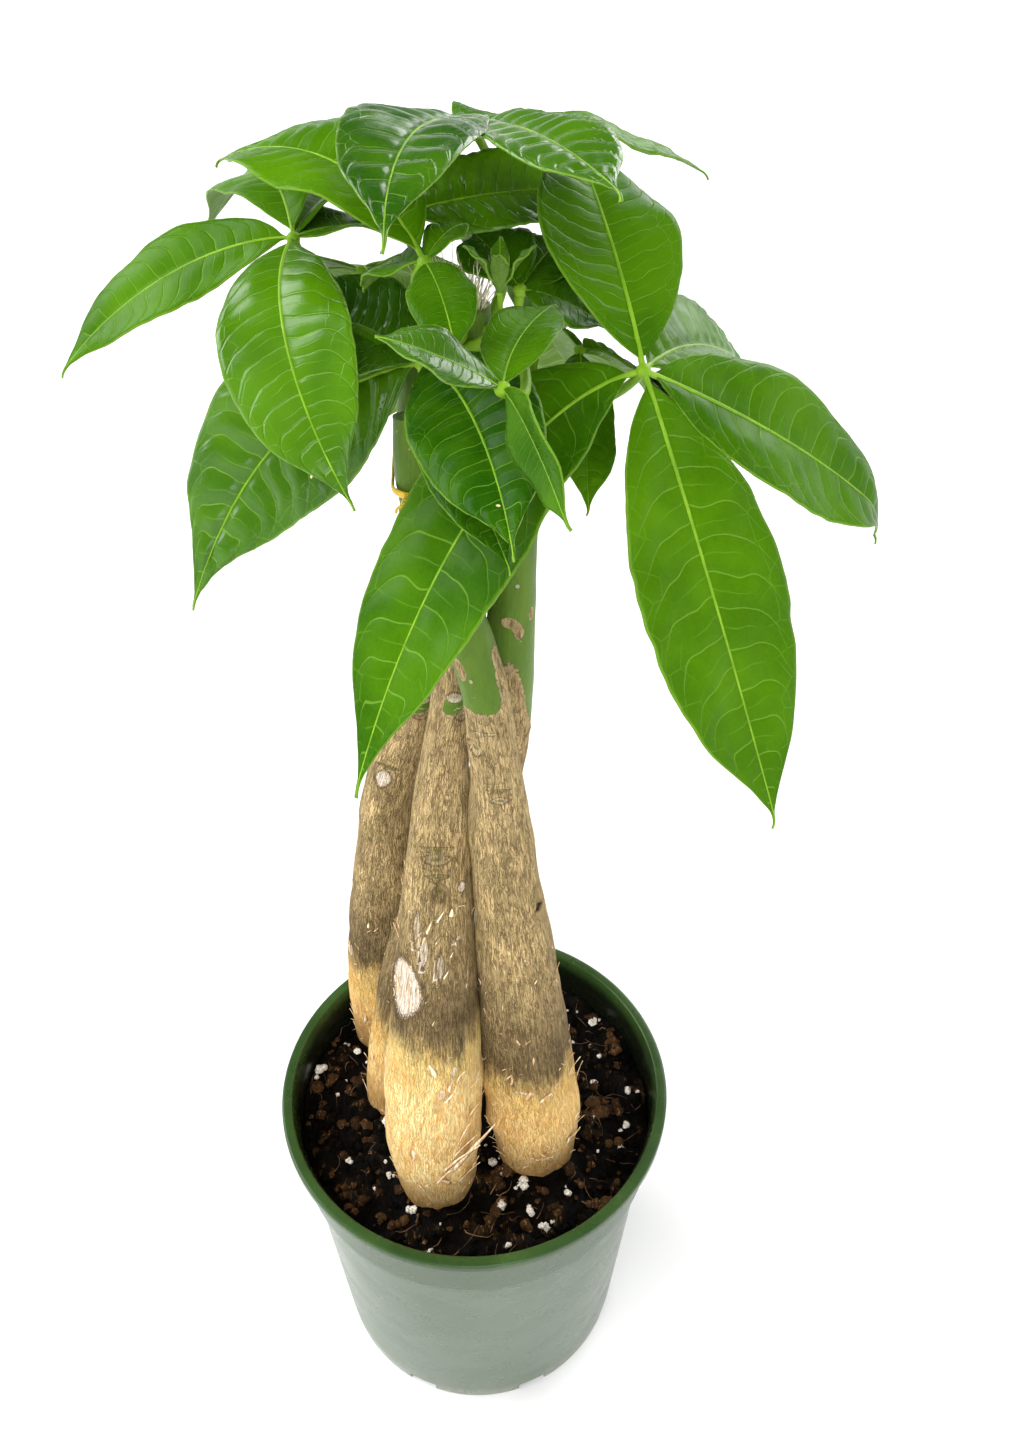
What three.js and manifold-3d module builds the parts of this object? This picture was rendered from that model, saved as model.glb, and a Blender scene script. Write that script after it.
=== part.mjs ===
// A potted money tree: four stems braided together in a nursery pot, under a crown of hand-shaped leaves.
// Millimetres, +Z up. The origin is the centre of the pot's flat underside, and the front faces -Y.

import * as THREE from "three";
import { mergeVertices } from "three/addons/utils/BufferGeometryUtils.js";
import Module from "manifold-3d";

const wasm = await Module();
wasm.setup();

// ---- Pot ----
const POT_HEIGHT = 150;
const POT_LIP_RADIUS = 82.5;
const POT_LIP_WIDTH = 3.5;
const POT_LIP_DROP = 4.5; // how far the rolled lip hangs down outside
const POT_LIP_ROUNDING = 0.9;
const POT_BAND_RADIUS = 77.6; // of the straight band under the lip
const POT_BAND_BOTTOM = 121.5;
const POT_STEP = 120; // height at which the wall begins to step out to the band
const POT_SHOULDER = 75.2; // radius of the wall there
const POT_FOOT = 66.4; // radius of the wall just above the base corner
const POT_CORNER = 1.6; // rounding of the base corner
const POT_WALL = 1.6;
const POT_FLOOR = 2.2;
const POT_SIDES = 48;
const NOTCHES = 8; // drainage notches round the base corner
const NOTCH_WIDTH = 13;
const NOTCH_HEIGHT = 6;
const NOTCH_DEPTH = 7; // how far a notch reaches in under the floor's edge

// ---- Soil ----
const SOIL_LEVEL = 131.5; // at the wall
const SOIL_MOUND = 2.5; // how much higher it stands in the middle
const SOIL_LUMP = 1.5; // how far its lumps rise and sink
const SOIL_RINGS = 7;
const SOIL_SIDES = 32;
const HOLE_TOP = 165; // height above which the stems' shapes cut nothing out of the soil

// ---- Clearance, sides and steps ----
const GAP = 0.35; // between pieces that touch
const STEM_SIDES = 9;
const STEM_STEPS = 2; // rings from one point of a stem's middle line to the next
const STALK_SIDES = 5;
const STALK_STEPS = 6;
const BLADE = 0.9; // thickness of a leaflet

// ---- Leaf stalks ----
const STALK_FOOT = 2.3; // radius where the stalk leaves the stem
const STALK_TOP = 1.3; // radius under the hub
const HUB = 2.2; // radius of the knot that the leaflets grow from
const STALK_OUT = 0.8; // how far out and how far up the stalk sets off
const STALK_UP = 0.6;
const STALK_BEND = 0.35; // shares of the stalk's reach over which it keeps its first and its last direction
const STALK_STRAIGHT = 0.3;
const STALK_STAND_OFF = 0.6; // how much of the foot's radius its middle stands off the bark

// ---- Twist tie ----
const TIE_HEIGHT = 427;
const TIE_RADIUS = 0.9;
const TIE_STEPS = 26;
const TIE_TAIL = 8; // length of its twisted end
const TIE_TAIL_STEPS = 4;
const TIE_TAIL_DROP = 3;
const TIE_TAIL_RADII = [1.15, 0.8]; // at its root and its end
const TIE_BEARING = 250; // where the twisted end stands out

// ---- Stems: points up the middle line of each, with the radius there ----
const STEMS = {
  stem_front: [
    [-15, -33, 76, 12],
    [-15, -34, 104, 13],
    [-15, -34, 132, 15.6],
    [-16, -33, 160, 18.6],
    [-15, -29, 195, 18],
    [-13, -21, 235, 15.6],
    [-11, -10, 280, 12.6],
    [-8, 0, 325, 9.6],
    [-4, 7, 350, 8.6],
    [0, 10, 385, 7.8],
    [2, 9, 425, 7.3],
    [3, 3, 474, 7],
  ],
  stem_right: [
    [26, -20, 76, 12],
    [26, -20, 104, 13.5],
    [26, -20, 132, 16.5],
    [25, -20, 160, 19],
    [22, -18, 200, 17],
    [18, -16, 245, 14.3],
    [14, -15, 290, 11.2],
    [11, -14, 330, 9],
    [7, -11, 365, 8],
    [-3, -8, 400, 7.4],
    [-10, -3, 428, 7.1],
    [-10, 0, 446, 7],
  ],
  stem_left: [
    [-40, 36, 76, 9],
    [-42, 38, 104, 10.5],
    [-44, 40, 132, 12.8],
    [-44, 39, 160, 14],
    [-42, 37, 200, 12.8],
    [-36, 34, 245, 11.8],
    [-29, 31, 290, 10.8],
    [-19, 27, 325, 9.8],
    [-14, 24, 355, 8.6],
    [-12, 21, 400, 7.6],
    [-11, 20, 435, 7.2],
    [-10, 22, 464, 7],
  ],
  stem_back: [
    [-36, 4, 76, 10],
    [-36, 4, 104, 11.5],
    [-35, 5, 132, 13.4],
    [-32, 8, 160, 14.2],
    [-26, 13, 200, 12.8],
    [-15, 19, 238, 11.6],
    [-1, 21, 272, 10.8],
    [9, 18, 302, 9.8],
    [14, 13, 332, 8.8],
    [16, 9, 362, 7.9],
    [17, 8, 400, 7.3],
    [18, 10, 450, 7],
  ],
};

// ---- Leaves ----
// A leaf has the stem that it grows from, the height and bearing of its foot there (0 is +X, 90 the back),
// how far the middle of its stalk is drawn aside (bow), its hub, the way the hub faces, and its leaflets.
// A leaflet has its tip and width, how far its midrib arches up (lift) and to the right of its own direction
// seen from above (side), the share of that arch near the tip (late), its roll about the midrib and how
// steeply its halves rise from it (fold), both in degrees, and how far the tip curls under (curl).
const LEAVES = {
  leaf_right: {
    stem: "stem_back", height: 440, bearing: -20, hub: [48, -25, 467], face: [0.35, -0.55, 0.75],
    leaflets: [
      { tip: [32, 18, 509], width: 38, lift: 7, fold: 8 },
      { tip: [95, 66, 434], width: 36, lift: 12 },
      { tip: [131, 8, 408], width: 38, lift: 5, late: 1.6, curl: 7 },
      { tip: [84, -76, 368], width: 45, lift: 6, side: 1, fold: 6 },
      { tip: [-25, -66, 370], width: 43, lift: 19, side: 22, fold: 8 },
    ],
  },
  leaf_left: {
    stem: "stem_left", height: 448, bearing: 150, hub: [-42, 20, 487], face: [-0.2, -0.2, 1],
    leaflets: [
      { tip: [-80, 76, 475], width: 26, lift: 19, side: 8, late: 1.3 },
      { tip: [-111, 20, 452], width: 25, lift: 10, side: 4, late: 1.1, roll: -25, fold: 8 },
      { tip: [-24, -42, 441], width: 35, lift: 9, side: 11, late: 0.9, fold: 6 },
      { tip: [-14, 45, 484], width: 24, lift: 3 },
      { tip: [-34, 66, 490], width: 16, lift: 4, fold: 24 },
    ],
  },
  leaf_front_low: {
    stem: "stem_right", height: 440, bearing: -70, hub: [-8, -2, 461], face: [-0.1, -0.5, 0.85],
    leaflets: [
      { tip: [-77, -10, 394], width: 46, lift: 15, side: 9, late: 1.7, roll: -34, fold: 8 },
      { tip: [16, -82, 449], width: 32, lift: 9, side: -5 },
      { tip: [-44, 20, 470], width: 34, lift: 2, fold: 14 },
      { tip: [15, -64, 435], width: 22, lift: 2 },
    ],
  },
  leaf_front_high: {
    stem: "stem_front", height: 469, bearing: 265, bow: [-7, 0, 2],
    hub: [-4, -25, 492], face: [-0.1, -0.3, 0.95],
    leaflets: [
      { tip: [-58, 18, 506], width: 33, lift: 17, side: 5, roll: 12 },
      { tip: [6, -58, 484], width: 20, lift: 3, side: -2 },
      { tip: [-21, -6, 481], width: 14, lift: 3 },
      { tip: [5, -10, 497], width: 9, lift: 3 },
    ],
  },
  leaf_top: {
    stem: "stem_front", height: 462, bearing: 65, bow: [8, 18, 0], hub: [6, 25, 512], face: [0, -0.2, 1],
    leaflets: [
      { tip: [-9, -62, 506], width: 30, lift: 11, side: 5, late: 1.1, fold: 8 },
      { tip: [37, -50, 512], width: 27, lift: 7 },
      { tip: [73, 70, 494], width: 24, lift: 8 },
      { tip: [16, 72, 506], width: 22, lift: 4 },
      { tip: [-22, 40, 502], width: 22, lift: 4 },
    ],
  },
  leaf_middle: {
    stem: "stem_front", height: 468, bearing: 110, hub: [-12, 8, 495], face: [0, -0.5, 0.85],
    leaflets: [
      { tip: [36, 25, 498], width: 30, lift: 3, fold: 12 },
      { tip: [8, 62, 480], width: 22, lift: 3 },
      { tip: [-22, 64, 486], width: 24, lift: 6 },
    ],
  },
  leaf_front_young: {
    stem: "stem_front", height: 457, bearing: 285, bow: [6, 3, 23],
    hub: [14, -60, 475], face: [0, -0.4, 0.9],
    leaflets: [
      { tip: [-10, -70, 489], width: 13, lift: 2 },
      { tip: [26, -20, 481], width: 17, lift: 3, side: -3 },
      { tip: [27, -90, 458], width: 14, lift: 4 },
    ],
  },
  leaf_centre_young: {
    stem: "stem_back", height: 445, bearing: 250, hub: [18, 0, 479], face: [0, -0.4, 0.9],
    leaflets: [
      { tip: [6, 20, 488], width: 17, lift: 2 },
      { tip: [30, 25, 486], width: 16, lift: 2 },
      { tip: [40, 0, 470], width: 14, lift: 3 },
    ],
  },
  leaf_back_right: {
    stem: "stem_back", height: 438, bearing: 80, hub: [28, 62, 472], face: [0.1, 0.5, 0.85],
    leaflets: [
      { tip: [68, 112, 438], width: 34, lift: 14 },
      { tip: [32, 145, 420], width: 40, lift: 16 },
      { tip: [80, 62, 432], width: 32, lift: 12 },
      { tip: [2, 100, 462], width: 28, lift: 6 },
    ],
  },
  leaf_back_left: {
    stem: "stem_left", height: 440, bearing: 100, hub: [-30, 62, 468], face: [-0.1, 0.5, 0.85],
    leaflets: [
      { tip: [-72, 112, 430], width: 36, lift: 14 },
      { tip: [-30, 142, 415], width: 38, lift: 16 },
      { tip: [-70, 70, 425], width: 30, lift: 12 },
      { tip: [0, 96, 450], width: 24, lift: 6 },
    ],
  },
  leaf_back_low: {
    stem: "stem_left", height: 410, bearing: 80, hub: [2, 78, 446], face: [0, 0.6, 0.8],
    leaflets: [
      { tip: [-38, 142, 388], width: 36, lift: 14 },
      { tip: [14, 160, 380], width: 40, lift: 16 },
      { tip: [54, 122, 388], width: 34, lift: 12 },
      { tip: [-40, 92, 408], width: 28, lift: 8 },
    ],
  },
  leaf_side_right: {
    stem: "stem_back", height: 412, bearing: 30, hub: [36, 36, 452], face: [0.4, 0.2, 0.9],
    leaflets: [
      { tip: [38, 0, 418], width: 22, lift: 5 },
      { tip: [78, 70, 408], width: 32, lift: 12 },
      { tip: [84, 28, 412], width: 34, lift: 12 },
      { tip: [44, 84, 420], width: 28, lift: 10 },
    ],
  },
};
// A leaflet's half width grows as the first power of the distance from its stalk and narrows as the second
// power of the distance from its tip.
const OUTLINE_BASE = 0.85;
const OUTLINE_TIP = 0.92;
const ARCH_EARLY = 0.3; // the shares of a leaflet's length at which its midrib's arch is set
const ARCH_LATE = 0.72;
const LEAFLET_STALK = 0.04; // the share of a leaflet that is its short stalk
const WAVE = 0.9; // height of the waves along a leaflet's edge
const WAVES = 2; // how many there are along it
const LONG_LEAFLET = 60;
const SHORT_LEAFLET = 30;
const CURL_START = 0.82; // where along a leaflet its tip begins to curl
const LEAST_HALF_WIDTH = 0.7; // at the root and the tip

// ---- Young shoot: unopened leaflets in a bunch ----
const SHOOT_FOOT = { stem: "stem_front", height: 469, bearing: -25 };
const SHOOT_HUB = [13, -7, 480];
const SHOOT_LEAFLETS = 4;
const SHOOT_LEAFLET = { length: 14, width: 4.5, spread: 0.75, lift: 2, fold: 30 };

const RIGHT = new THREE.Vector3(1, 0, 0);
const BACK = new THREE.Vector3(0, 1, 0);
const UP = new THREE.Vector3(0, 0, 1);
const radians = THREE.MathUtils.degToRad;
const point = (list) => new THREE.Vector3(...list);

// ---- Solids ----

// A closed mesh from its corner points and its faces, each face a list of three corner numbers.
function closedMesh(points, faces) {
  const geometry = new THREE.BufferGeometry();
  const flat = faces.flat().flatMap((corner) => points[corner].toArray());
  geometry.setAttribute("position", new THREE.Float32BufferAttribute(flat, 3));
  return geometry;
}

// The skin through a row of rings with the same number of points. Each ring's points turn anticlockwise as
// seen from the ring after it. It is closed at its ends, or endless, its last ring joined to its first.
function loft(rings, endless = false) {
  const sides = rings[0].length;
  const points = rings.flat();
  const faces = [];
  const rows = endless ? rings.length : rings.length - 1;
  for (let row = 0; row < rows; row++) {
    const above = ((row + 1) % rings.length) * sides;
    for (let side = 0; side < sides; side++) {
      const turned = (side + 1) % sides;
      faces.push([row * sides + side, row * sides + turned, above + turned]);
      faces.push([row * sides + side, above + turned, above + side]);
    }
  }
  if (endless) return closedMesh(points, faces);
  const middle = (ring) => ring.reduce((sum, p) => sum.add(p), new THREE.Vector3()).divideScalar(sides);
  const bottom = points.push(middle(rings[0])) - 1;
  const top = points.push(middle(rings.at(-1))) - 1;
  const last = (rings.length - 1) * sides;
  for (let side = 0; side < sides; side++) {
    const turned = (side + 1) % sides;
    faces.push([bottom, turned, side], [top, last + side, last + turned]);
  }
  return closedMesh(points, faces);
}

// Rings round a line of stations, each { at, radius }, turned as little as possible from one to the next.
function ringsAlong(stations, sides) {
  const start = stations[1].at.clone().sub(stations[0].at).normalize();
  let across = Math.abs(start.x) < 0.8 ? RIGHT : BACK;
  return stations.map(({ at, radius }, row) => {
    const before = stations[Math.max(row - 1, 0)].at;
    const after = stations[Math.min(row + 1, stations.length - 1)].at;
    const along = after.clone().sub(before).normalize();
    across = squareTo(across, along);
    return circle(at, across, along.clone().cross(across), radius, sides);
  });
}

// Points round a circle, turning from the direction right to the direction up.
function circle(centre, right, up, radius, sides) {
  return Array.from({ length: sides }, (_, side) => {
    const turn = (2 * Math.PI * side) / sides;
    const spot = centre.clone().addScaledVector(right, radius * Math.cos(turn));
    return spot.addScaledVector(up, radius * Math.sin(turn));
  });
}

// The part of a direction that is square to another, at length 1.
function squareTo(direction, along) {
  return direction.clone().addScaledVector(along, -direction.dot(along)).normalize();
}

function bearing(degrees) {
  return new THREE.Vector3(Math.cos(radians(degrees)), Math.sin(radians(degrees)), 0);
}

function solid(geometry) {
  const bare = geometry.clone();
  bare.deleteAttribute("normal");
  bare.deleteAttribute("uv");
  const merged = mergeVertices(bare, 1e-4);
  const vertProperties = new Float32Array(merged.attributes.position.array);
  const triVerts = new Uint32Array(merged.index.array);
  return new wasm.Manifold(new wasm.Mesh({ numProp: 3, vertProperties, triVerts }));
}

function geometryOf(manifold) {
  const mesh = manifold.getMesh();
  const geometry = new THREE.BufferGeometry();
  geometry.setAttribute("position", new THREE.BufferAttribute(new Float32Array(mesh.vertProperties), 3));
  geometry.setIndex(new THREE.BufferAttribute(new Uint32Array(mesh.triVerts), 1));
  return geometry.toNonIndexed();
}

function joined(geometries) {
  return geometryOf(geometries.map(solid).reduce((whole, next) => whole.add(next)));
}

function namedMesh(name, geometry, color, roughness) {
  geometry.computeVertexNormals();
  const mesh = new THREE.Mesh(geometry, new THREE.MeshStandardMaterial({ color, roughness, metalness: 0 }));
  mesh.name = name;
  return mesh;
}

// ---- Pot ----

// The wall's outer radius at a height: a taper, then a step out to the straight band.
function potOutside(height) {
  const { lerp } = THREE.MathUtils;
  if (height >= POT_BAND_BOTTOM) return POT_BAND_RADIUS;
  if (height < POT_STEP) return lerp(POT_FOOT, POT_SHOULDER, height / POT_STEP);
  return lerp(POT_SHOULDER, POT_BAND_RADIUS, (height - POT_STEP) / (POT_BAND_BOTTOM - POT_STEP));
}

const potInside = (height) => potOutside(height) - POT_WALL;

function makePot() {
  const lipBottom = POT_HEIGHT - POT_LIP_DROP;
  const profile = [
    [0, 0],
    [POT_FOOT - POT_CORNER, 0],
    [potOutside(POT_CORNER), POT_CORNER],
    [potOutside(POT_STEP), POT_STEP],
    [potOutside(POT_BAND_BOTTOM), POT_BAND_BOTTOM],
    [potOutside(lipBottom), lipBottom],
    [POT_LIP_RADIUS - POT_LIP_ROUNDING, lipBottom],
    [POT_LIP_RADIUS, lipBottom + POT_LIP_ROUNDING],
    [POT_LIP_RADIUS, POT_HEIGHT - POT_LIP_ROUNDING],
    [POT_LIP_RADIUS - POT_LIP_ROUNDING, POT_HEIGHT],
    [POT_LIP_RADIUS - POT_LIP_WIDTH, POT_HEIGHT],
    [potInside(lipBottom), lipBottom],
    [potInside(POT_BAND_BOTTOM), POT_BAND_BOTTOM],
    [potInside(POT_STEP), POT_STEP],
    [potInside(POT_FLOOR), POT_FLOOR],
    [0, POT_FLOOR],
  ];
  const shell = new THREE.LatheGeometry(profile.map(([r, z]) => new THREE.Vector2(r, z)), POT_SIDES);
  const notches = Array.from({ length: NOTCHES }, (_, notch) => {
    const reach = NOTCH_DEPTH + 2 * POT_CORNER;
    const cutter = new THREE.BoxGeometry(reach, NOTCH_WIDTH, 2 * NOTCH_HEIGHT);
    cutter.translate(POT_FOOT - NOTCH_DEPTH + reach / 2, 0, 0);
    return solid(cutter.rotateZ(((notch + 0.5) * 2 * Math.PI) / NOTCHES));
  });
  const pot = notches.reduce((rest, notch) => rest.subtract(notch), solid(shell.rotateX(Math.PI / 2)));
  return namedMesh("pot", geometryOf(pot), 0x8fa596, 0.45);
}

// ---- Stems ----

function stemStations(name, allowance = 0) {
  const points = STEMS[name];
  const places = points.map(([x, y, z]) => new THREE.Vector3(x, y, z));
  const line = new THREE.CatmullRomCurve3(places, false, "centripetal");
  const steps = STEM_STEPS * (points.length - 1);
  return Array.from({ length: steps + 1 }, (_, step) => {
    const lower = Math.min(Math.floor(step / STEM_STEPS), points.length - 2);
    const share = step / STEM_STEPS - lower;
    const radius = THREE.MathUtils.lerp(points[lower][3], points[lower + 1][3], share);
    return { at: line.getPoint(step / steps), radius: radius + allowance };
  });
}

// The middle and the radius of a stem at a height.
function stemAt(name, height) {
  const stations = stemStations(name);
  const above = stations.findIndex(({ at }) => at.z >= height);
  const [low, high] = [stations[above - 1], stations[above]];
  const share = (height - low.at.z) / (high.at.z - low.at.z);
  const radius = THREE.MathUtils.lerp(low.radius, high.radius, share);
  return { at: low.at.clone().lerp(high.at, share), radius };
}

function makeStem(name) {
  return namedMesh(name, loft(ringsAlong(stemStations(name), STEM_SIDES)), 0x9a7b55, 0.85);
}

// ---- Soil, with a plain hole for each stem ----

function soilLump(x, y) {
  const coarse = Math.sin(0.19 * x + 1.3) * Math.cos(0.17 * y - 0.4);
  const fine = Math.sin(0.41 * x - 0.23 * y) * Math.cos(0.37 * y + 0.31 * x + 2);
  return SOIL_LUMP * (0.6 * coarse + 0.4 * fine);
}

function makeSoil() {
  const ring = (height, radius) => circle(point([0, 0, height]), RIGHT, BACK, radius, SOIL_SIDES);
  const heights = [POT_FLOOR + GAP, POT_STEP, POT_BAND_BOTTOM, SOIL_LEVEL];
  const side = heights.map((height) => ring(height, potInside(height) - GAP));
  const surface = Array.from({ length: SOIL_RINGS - 1 }, (_, step) => {
    const share = (step + 1) / SOIL_RINGS;
    const level = SOIL_LEVEL + SOIL_MOUND * Math.sin((Math.PI / 2) * share);
    const spots = ring(level, (potInside(SOIL_LEVEL) - GAP) * (1 - share));
    return spots.map((spot) => spot.setZ(level + soilLump(spot.x, spot.y)));
  });
  const filling = solid(loft([...side, ...surface]));
  const rooted = ({ at }) => at.z < HOLE_TOP;
  const holes = Object.keys(STEMS).map((name) => {
    const stations = stemStations(name, GAP).filter(rooted);
    stations[0].at.z -= GAP;
    return solid(loft(ringsAlong(stations, STEM_SIDES)));
  });
  const soil = holes.reduce((rest, hole) => rest.subtract(hole), filling);
  return namedMesh("soil", geometryOf(soil), 0x2e1d14, 1);
}

// ---- Leaves ----

// A leaflet's outline past its short stalk, from 0 at the stalk to 0 at the tip.
function outline(t) {
  const past = Math.max(t - LEAFLET_STALK, 0) / (1 - LEAFLET_STALK);
  return past ** OUTLINE_BASE * (1 - past) ** OUTLINE_TIP;
}

const PEAK = OUTLINE_BASE / (OUTLINE_BASE + OUTLINE_TIP);
const WIDEST = outline(LEAFLET_STALK + PEAK * (1 - LEAFLET_STALK));

function midribLine(hub, { tip, lift, side = 0, late = 0.7 }) {
  const chord = tip.clone().sub(hub);
  const arch = chord.clone().cross(UP).normalize().multiplyScalar(side).addScaledVector(UP, lift);
  const early = hub.clone().addScaledVector(chord, ARCH_EARLY).add(arch);
  const further = hub.clone().addScaledVector(chord, ARCH_LATE).addScaledVector(arch, late);
  return new THREE.CubicBezierCurve3(hub, early, further, tip);
}

// One leaflet: a thin waved blade, split into triangles alike on its two faces.
function makeLeaflet(hub, face, leaflet, number) {
  const { width, roll = 0, fold = 10, curl = 0 } = leaflet;
  const line = midribLine(hub, { ...leaflet, tip: point(leaflet.tip) });
  const length = line.getLength();
  const rows = length > LONG_LEAFLET ? 6 : length > SHORT_LEAFLET ? 5 : 3;
  const halfColumns = length > LONG_LEAFLET ? 2 : 1;
  const columns = 2 * halfColumns;
  let normal = face;
  const upper = [];
  const lower = [];
  for (let row = 0; row <= rows; row++) {
    const t = row / rows;
    const along = line.getTangent(t);
    normal = squareTo(normal, along);
    const up = normal.clone().applyAxisAngle(along, radians(roll));
    const right = along.clone().cross(up);
    const curled = Math.max(t - CURL_START, 0) / (1 - CURL_START);
    const middle = line.getPoint(t).addScaledVector(up, -curl * curled ** 2);
    const half = Math.max((width / 2) * (outline(t) / WIDEST), LEAST_HALF_WIDTH);
    const ripple = WAVE * Math.sin(Math.PI * t);
    for (let column = 0; column <= columns; column++) {
      const out = column / halfColumns - 1;
      const rise = Math.abs(out) * half * Math.tan(radians(fold)) * (1 - 0.5 * Math.abs(out));
      const wave = ripple * out * out * Math.sin(2 * Math.PI * WAVES * t + number + out);
      const spot = middle.clone().addScaledVector(right, out * half);
      upper.push(spot.clone().addScaledVector(up, rise + wave + BLADE / 2));
      lower.push(spot.clone().addScaledVector(up, rise + wave - BLADE / 2));
    }
  }
  return closedMesh([...upper, ...lower], bladeFaces(rows, columns));
}

// The faces of a blade of so many rows and columns: its upper side, its lower side and its rim.
function bladeFaces(rows, columns) {
  const top = (row, column) => row * (columns + 1) + column;
  const under = (row, column) => top(row, column) + (rows + 1) * (columns + 1);
  const faces = [];
  const quad = (a, b, c, d) => faces.push([a, b, c], [a, c, d]);
  for (let row = 0; row < rows; row++) {
    for (let column = 0; column < columns; column++) {
      quad(top(row, column), top(row, column + 1), top(row + 1, column + 1), top(row + 1, column));
      faces.push([under(row, column), under(row + 1, column + 1), under(row, column + 1)]);
      faces.push([under(row, column), under(row + 1, column), under(row + 1, column + 1)]);
    }
    quad(top(row, 0), top(row + 1, 0), under(row + 1, 0), under(row, 0));
    quad(top(row, columns), under(row, columns), under(row + 1, columns), top(row + 1, columns));
  }
  for (let column = 0; column < columns; column++) {
    quad(top(0, column), under(0, column), under(0, column + 1), top(0, column + 1));
    quad(top(rows, column), top(rows, column + 1), under(rows, column + 1), under(rows, column));
  }
  return faces;
}

// A leaf's stalk, from its foot on the stem, where it keeps the gap, up into the hub from behind.
function makeStalk({ stem, height, bearing: turn, bow = [0, 0, 0] }, hub, face, foot, top) {
  const { at, radius } = stemAt(stem, height);
  const out = bearing(turn);
  const start = out.clone().multiplyScalar(STALK_OUT).addScaledVector(UP, STALK_UP);
  const from = at.clone().addScaledVector(out, radius + GAP + STALK_STAND_OFF * foot);
  const reach = from.distanceTo(hub);
  const early = from.clone().addScaledVector(start, STALK_BEND * reach).add(point(bow));
  const late = hub.clone().addScaledVector(face, -STALK_STRAIGHT * reach).add(point(bow));
  const line = new THREE.CubicBezierCurve3(from, early, late, hub);
  const stations = Array.from({ length: STALK_STEPS + 1 }, (_, step) => {
    const t = step / STALK_STEPS;
    return { at: line.getPoint(t), radius: THREE.MathUtils.lerp(foot, top, Math.sqrt(t)) };
  });
  return loft(ringsAlong(stations, STALK_SIDES));
}

function makeHub(hub, radius) {
  return new THREE.SphereGeometry(radius, 6, 4).translate(hub.x, hub.y, hub.z);
}

function makeLeaf(name, leaf) {
  const hub = point(leaf.hub);
  const face = point(leaf.face).normalize();
  const leaflets = leaf.leaflets.map((leaflet, number) => makeLeaflet(hub, face, leaflet, number));
  const pieces = [makeStalk(leaf, hub, face, STALK_FOOT, STALK_TOP), makeHub(hub, HUB), ...leaflets];
  return namedMesh(name, joined(pieces), 0x3f8a1f, 0.4);
}

function makeShoot() {
  const hub = point(SHOOT_HUB);
  const { length, width, spread, lift, fold } = SHOOT_LEAFLET;
  const leaflets = Array.from({ length: SHOOT_LEAFLETS }, (_, number) => {
    const out = bearing((number * 360) / SHOOT_LEAFLETS).multiplyScalar(spread).add(UP).normalize();
    const tip = hub.clone().addScaledVector(out, length).toArray();
    const face = out.clone().cross(UP).cross(out).normalize();
    return makeLeaflet(hub, face, { tip, width, lift, fold }, number);
  });
  const pieces = [makeStalk(SHOOT_FOOT, hub, UP, HUB / 2, HUB / 3), makeHub(hub, HUB / 2), ...leaflets];
  return namedMesh("young_shoot", joined(pieces), 0x6fae2c, 0.5);
}

// ---- Twist tie: a ring drawn tight round the four stems, and its twisted end ----

function makeTie() {
  const held = Object.keys(STEMS).map((name) => stemAt(name, TIE_HEIGHT));
  const offset = GAP + TIE_RADIUS;
  // Where the tie lies in a direction: on the stem that reaches furthest that way.
  const lies = (out) => {
    const reach = ({ at, radius }) => at.dot(out) + radius;
    const furthest = held.reduce((best, stem) => (reach(stem) > reach(best) ? stem : best));
    return furthest.at.clone().addScaledVector(out, furthest.radius + offset);
  };
  const down = UP.clone().negate();
  const rings = Array.from({ length: TIE_STEPS }, (_, step) => {
    const out = bearing((step * 360) / TIE_STEPS);
    return circle(lies(out), out, down, TIE_RADIUS, STALK_SIDES);
  });
  const out = bearing(TIE_BEARING);
  const tail = Array.from({ length: TIE_TAIL_STEPS + 1 }, (_, step) => {
    const share = step / TIE_TAIL_STEPS;
    const at = lies(out).addScaledVector(out, TIE_TAIL * share);
    at.addScaledVector(UP, -TIE_TAIL_DROP * share * share);
    return { at, radius: THREE.MathUtils.lerp(...TIE_TAIL_RADII, share) };
  });
  const pieces = [loft(rings, true), loft(ringsAlong(tail, STALK_SIDES))];
  return namedMesh("twist_tie", joined(pieces), 0xd9b92a, 0.4);
}

// ---- The plant in its pot ----

const plant = new THREE.Group();
plant.add(makePot(), makeSoil());
plant.add(...Object.keys(STEMS).map(makeStem));
plant.add(makeTie());
plant.add(...Object.entries(LEAVES).map(([name, leaf]) => makeLeaf(name, leaf)));
plant.add(makeShoot());

export default plant;
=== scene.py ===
# A potted money tree: four stems braided together in a nursery pot, under a crown of hand-shaped leaves.
# The tables hold millimetres. What is built from them is in metres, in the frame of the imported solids.
import math
import random
from collections import namedtuple
from functools import lru_cache

import bpy
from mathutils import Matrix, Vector, noise


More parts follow.
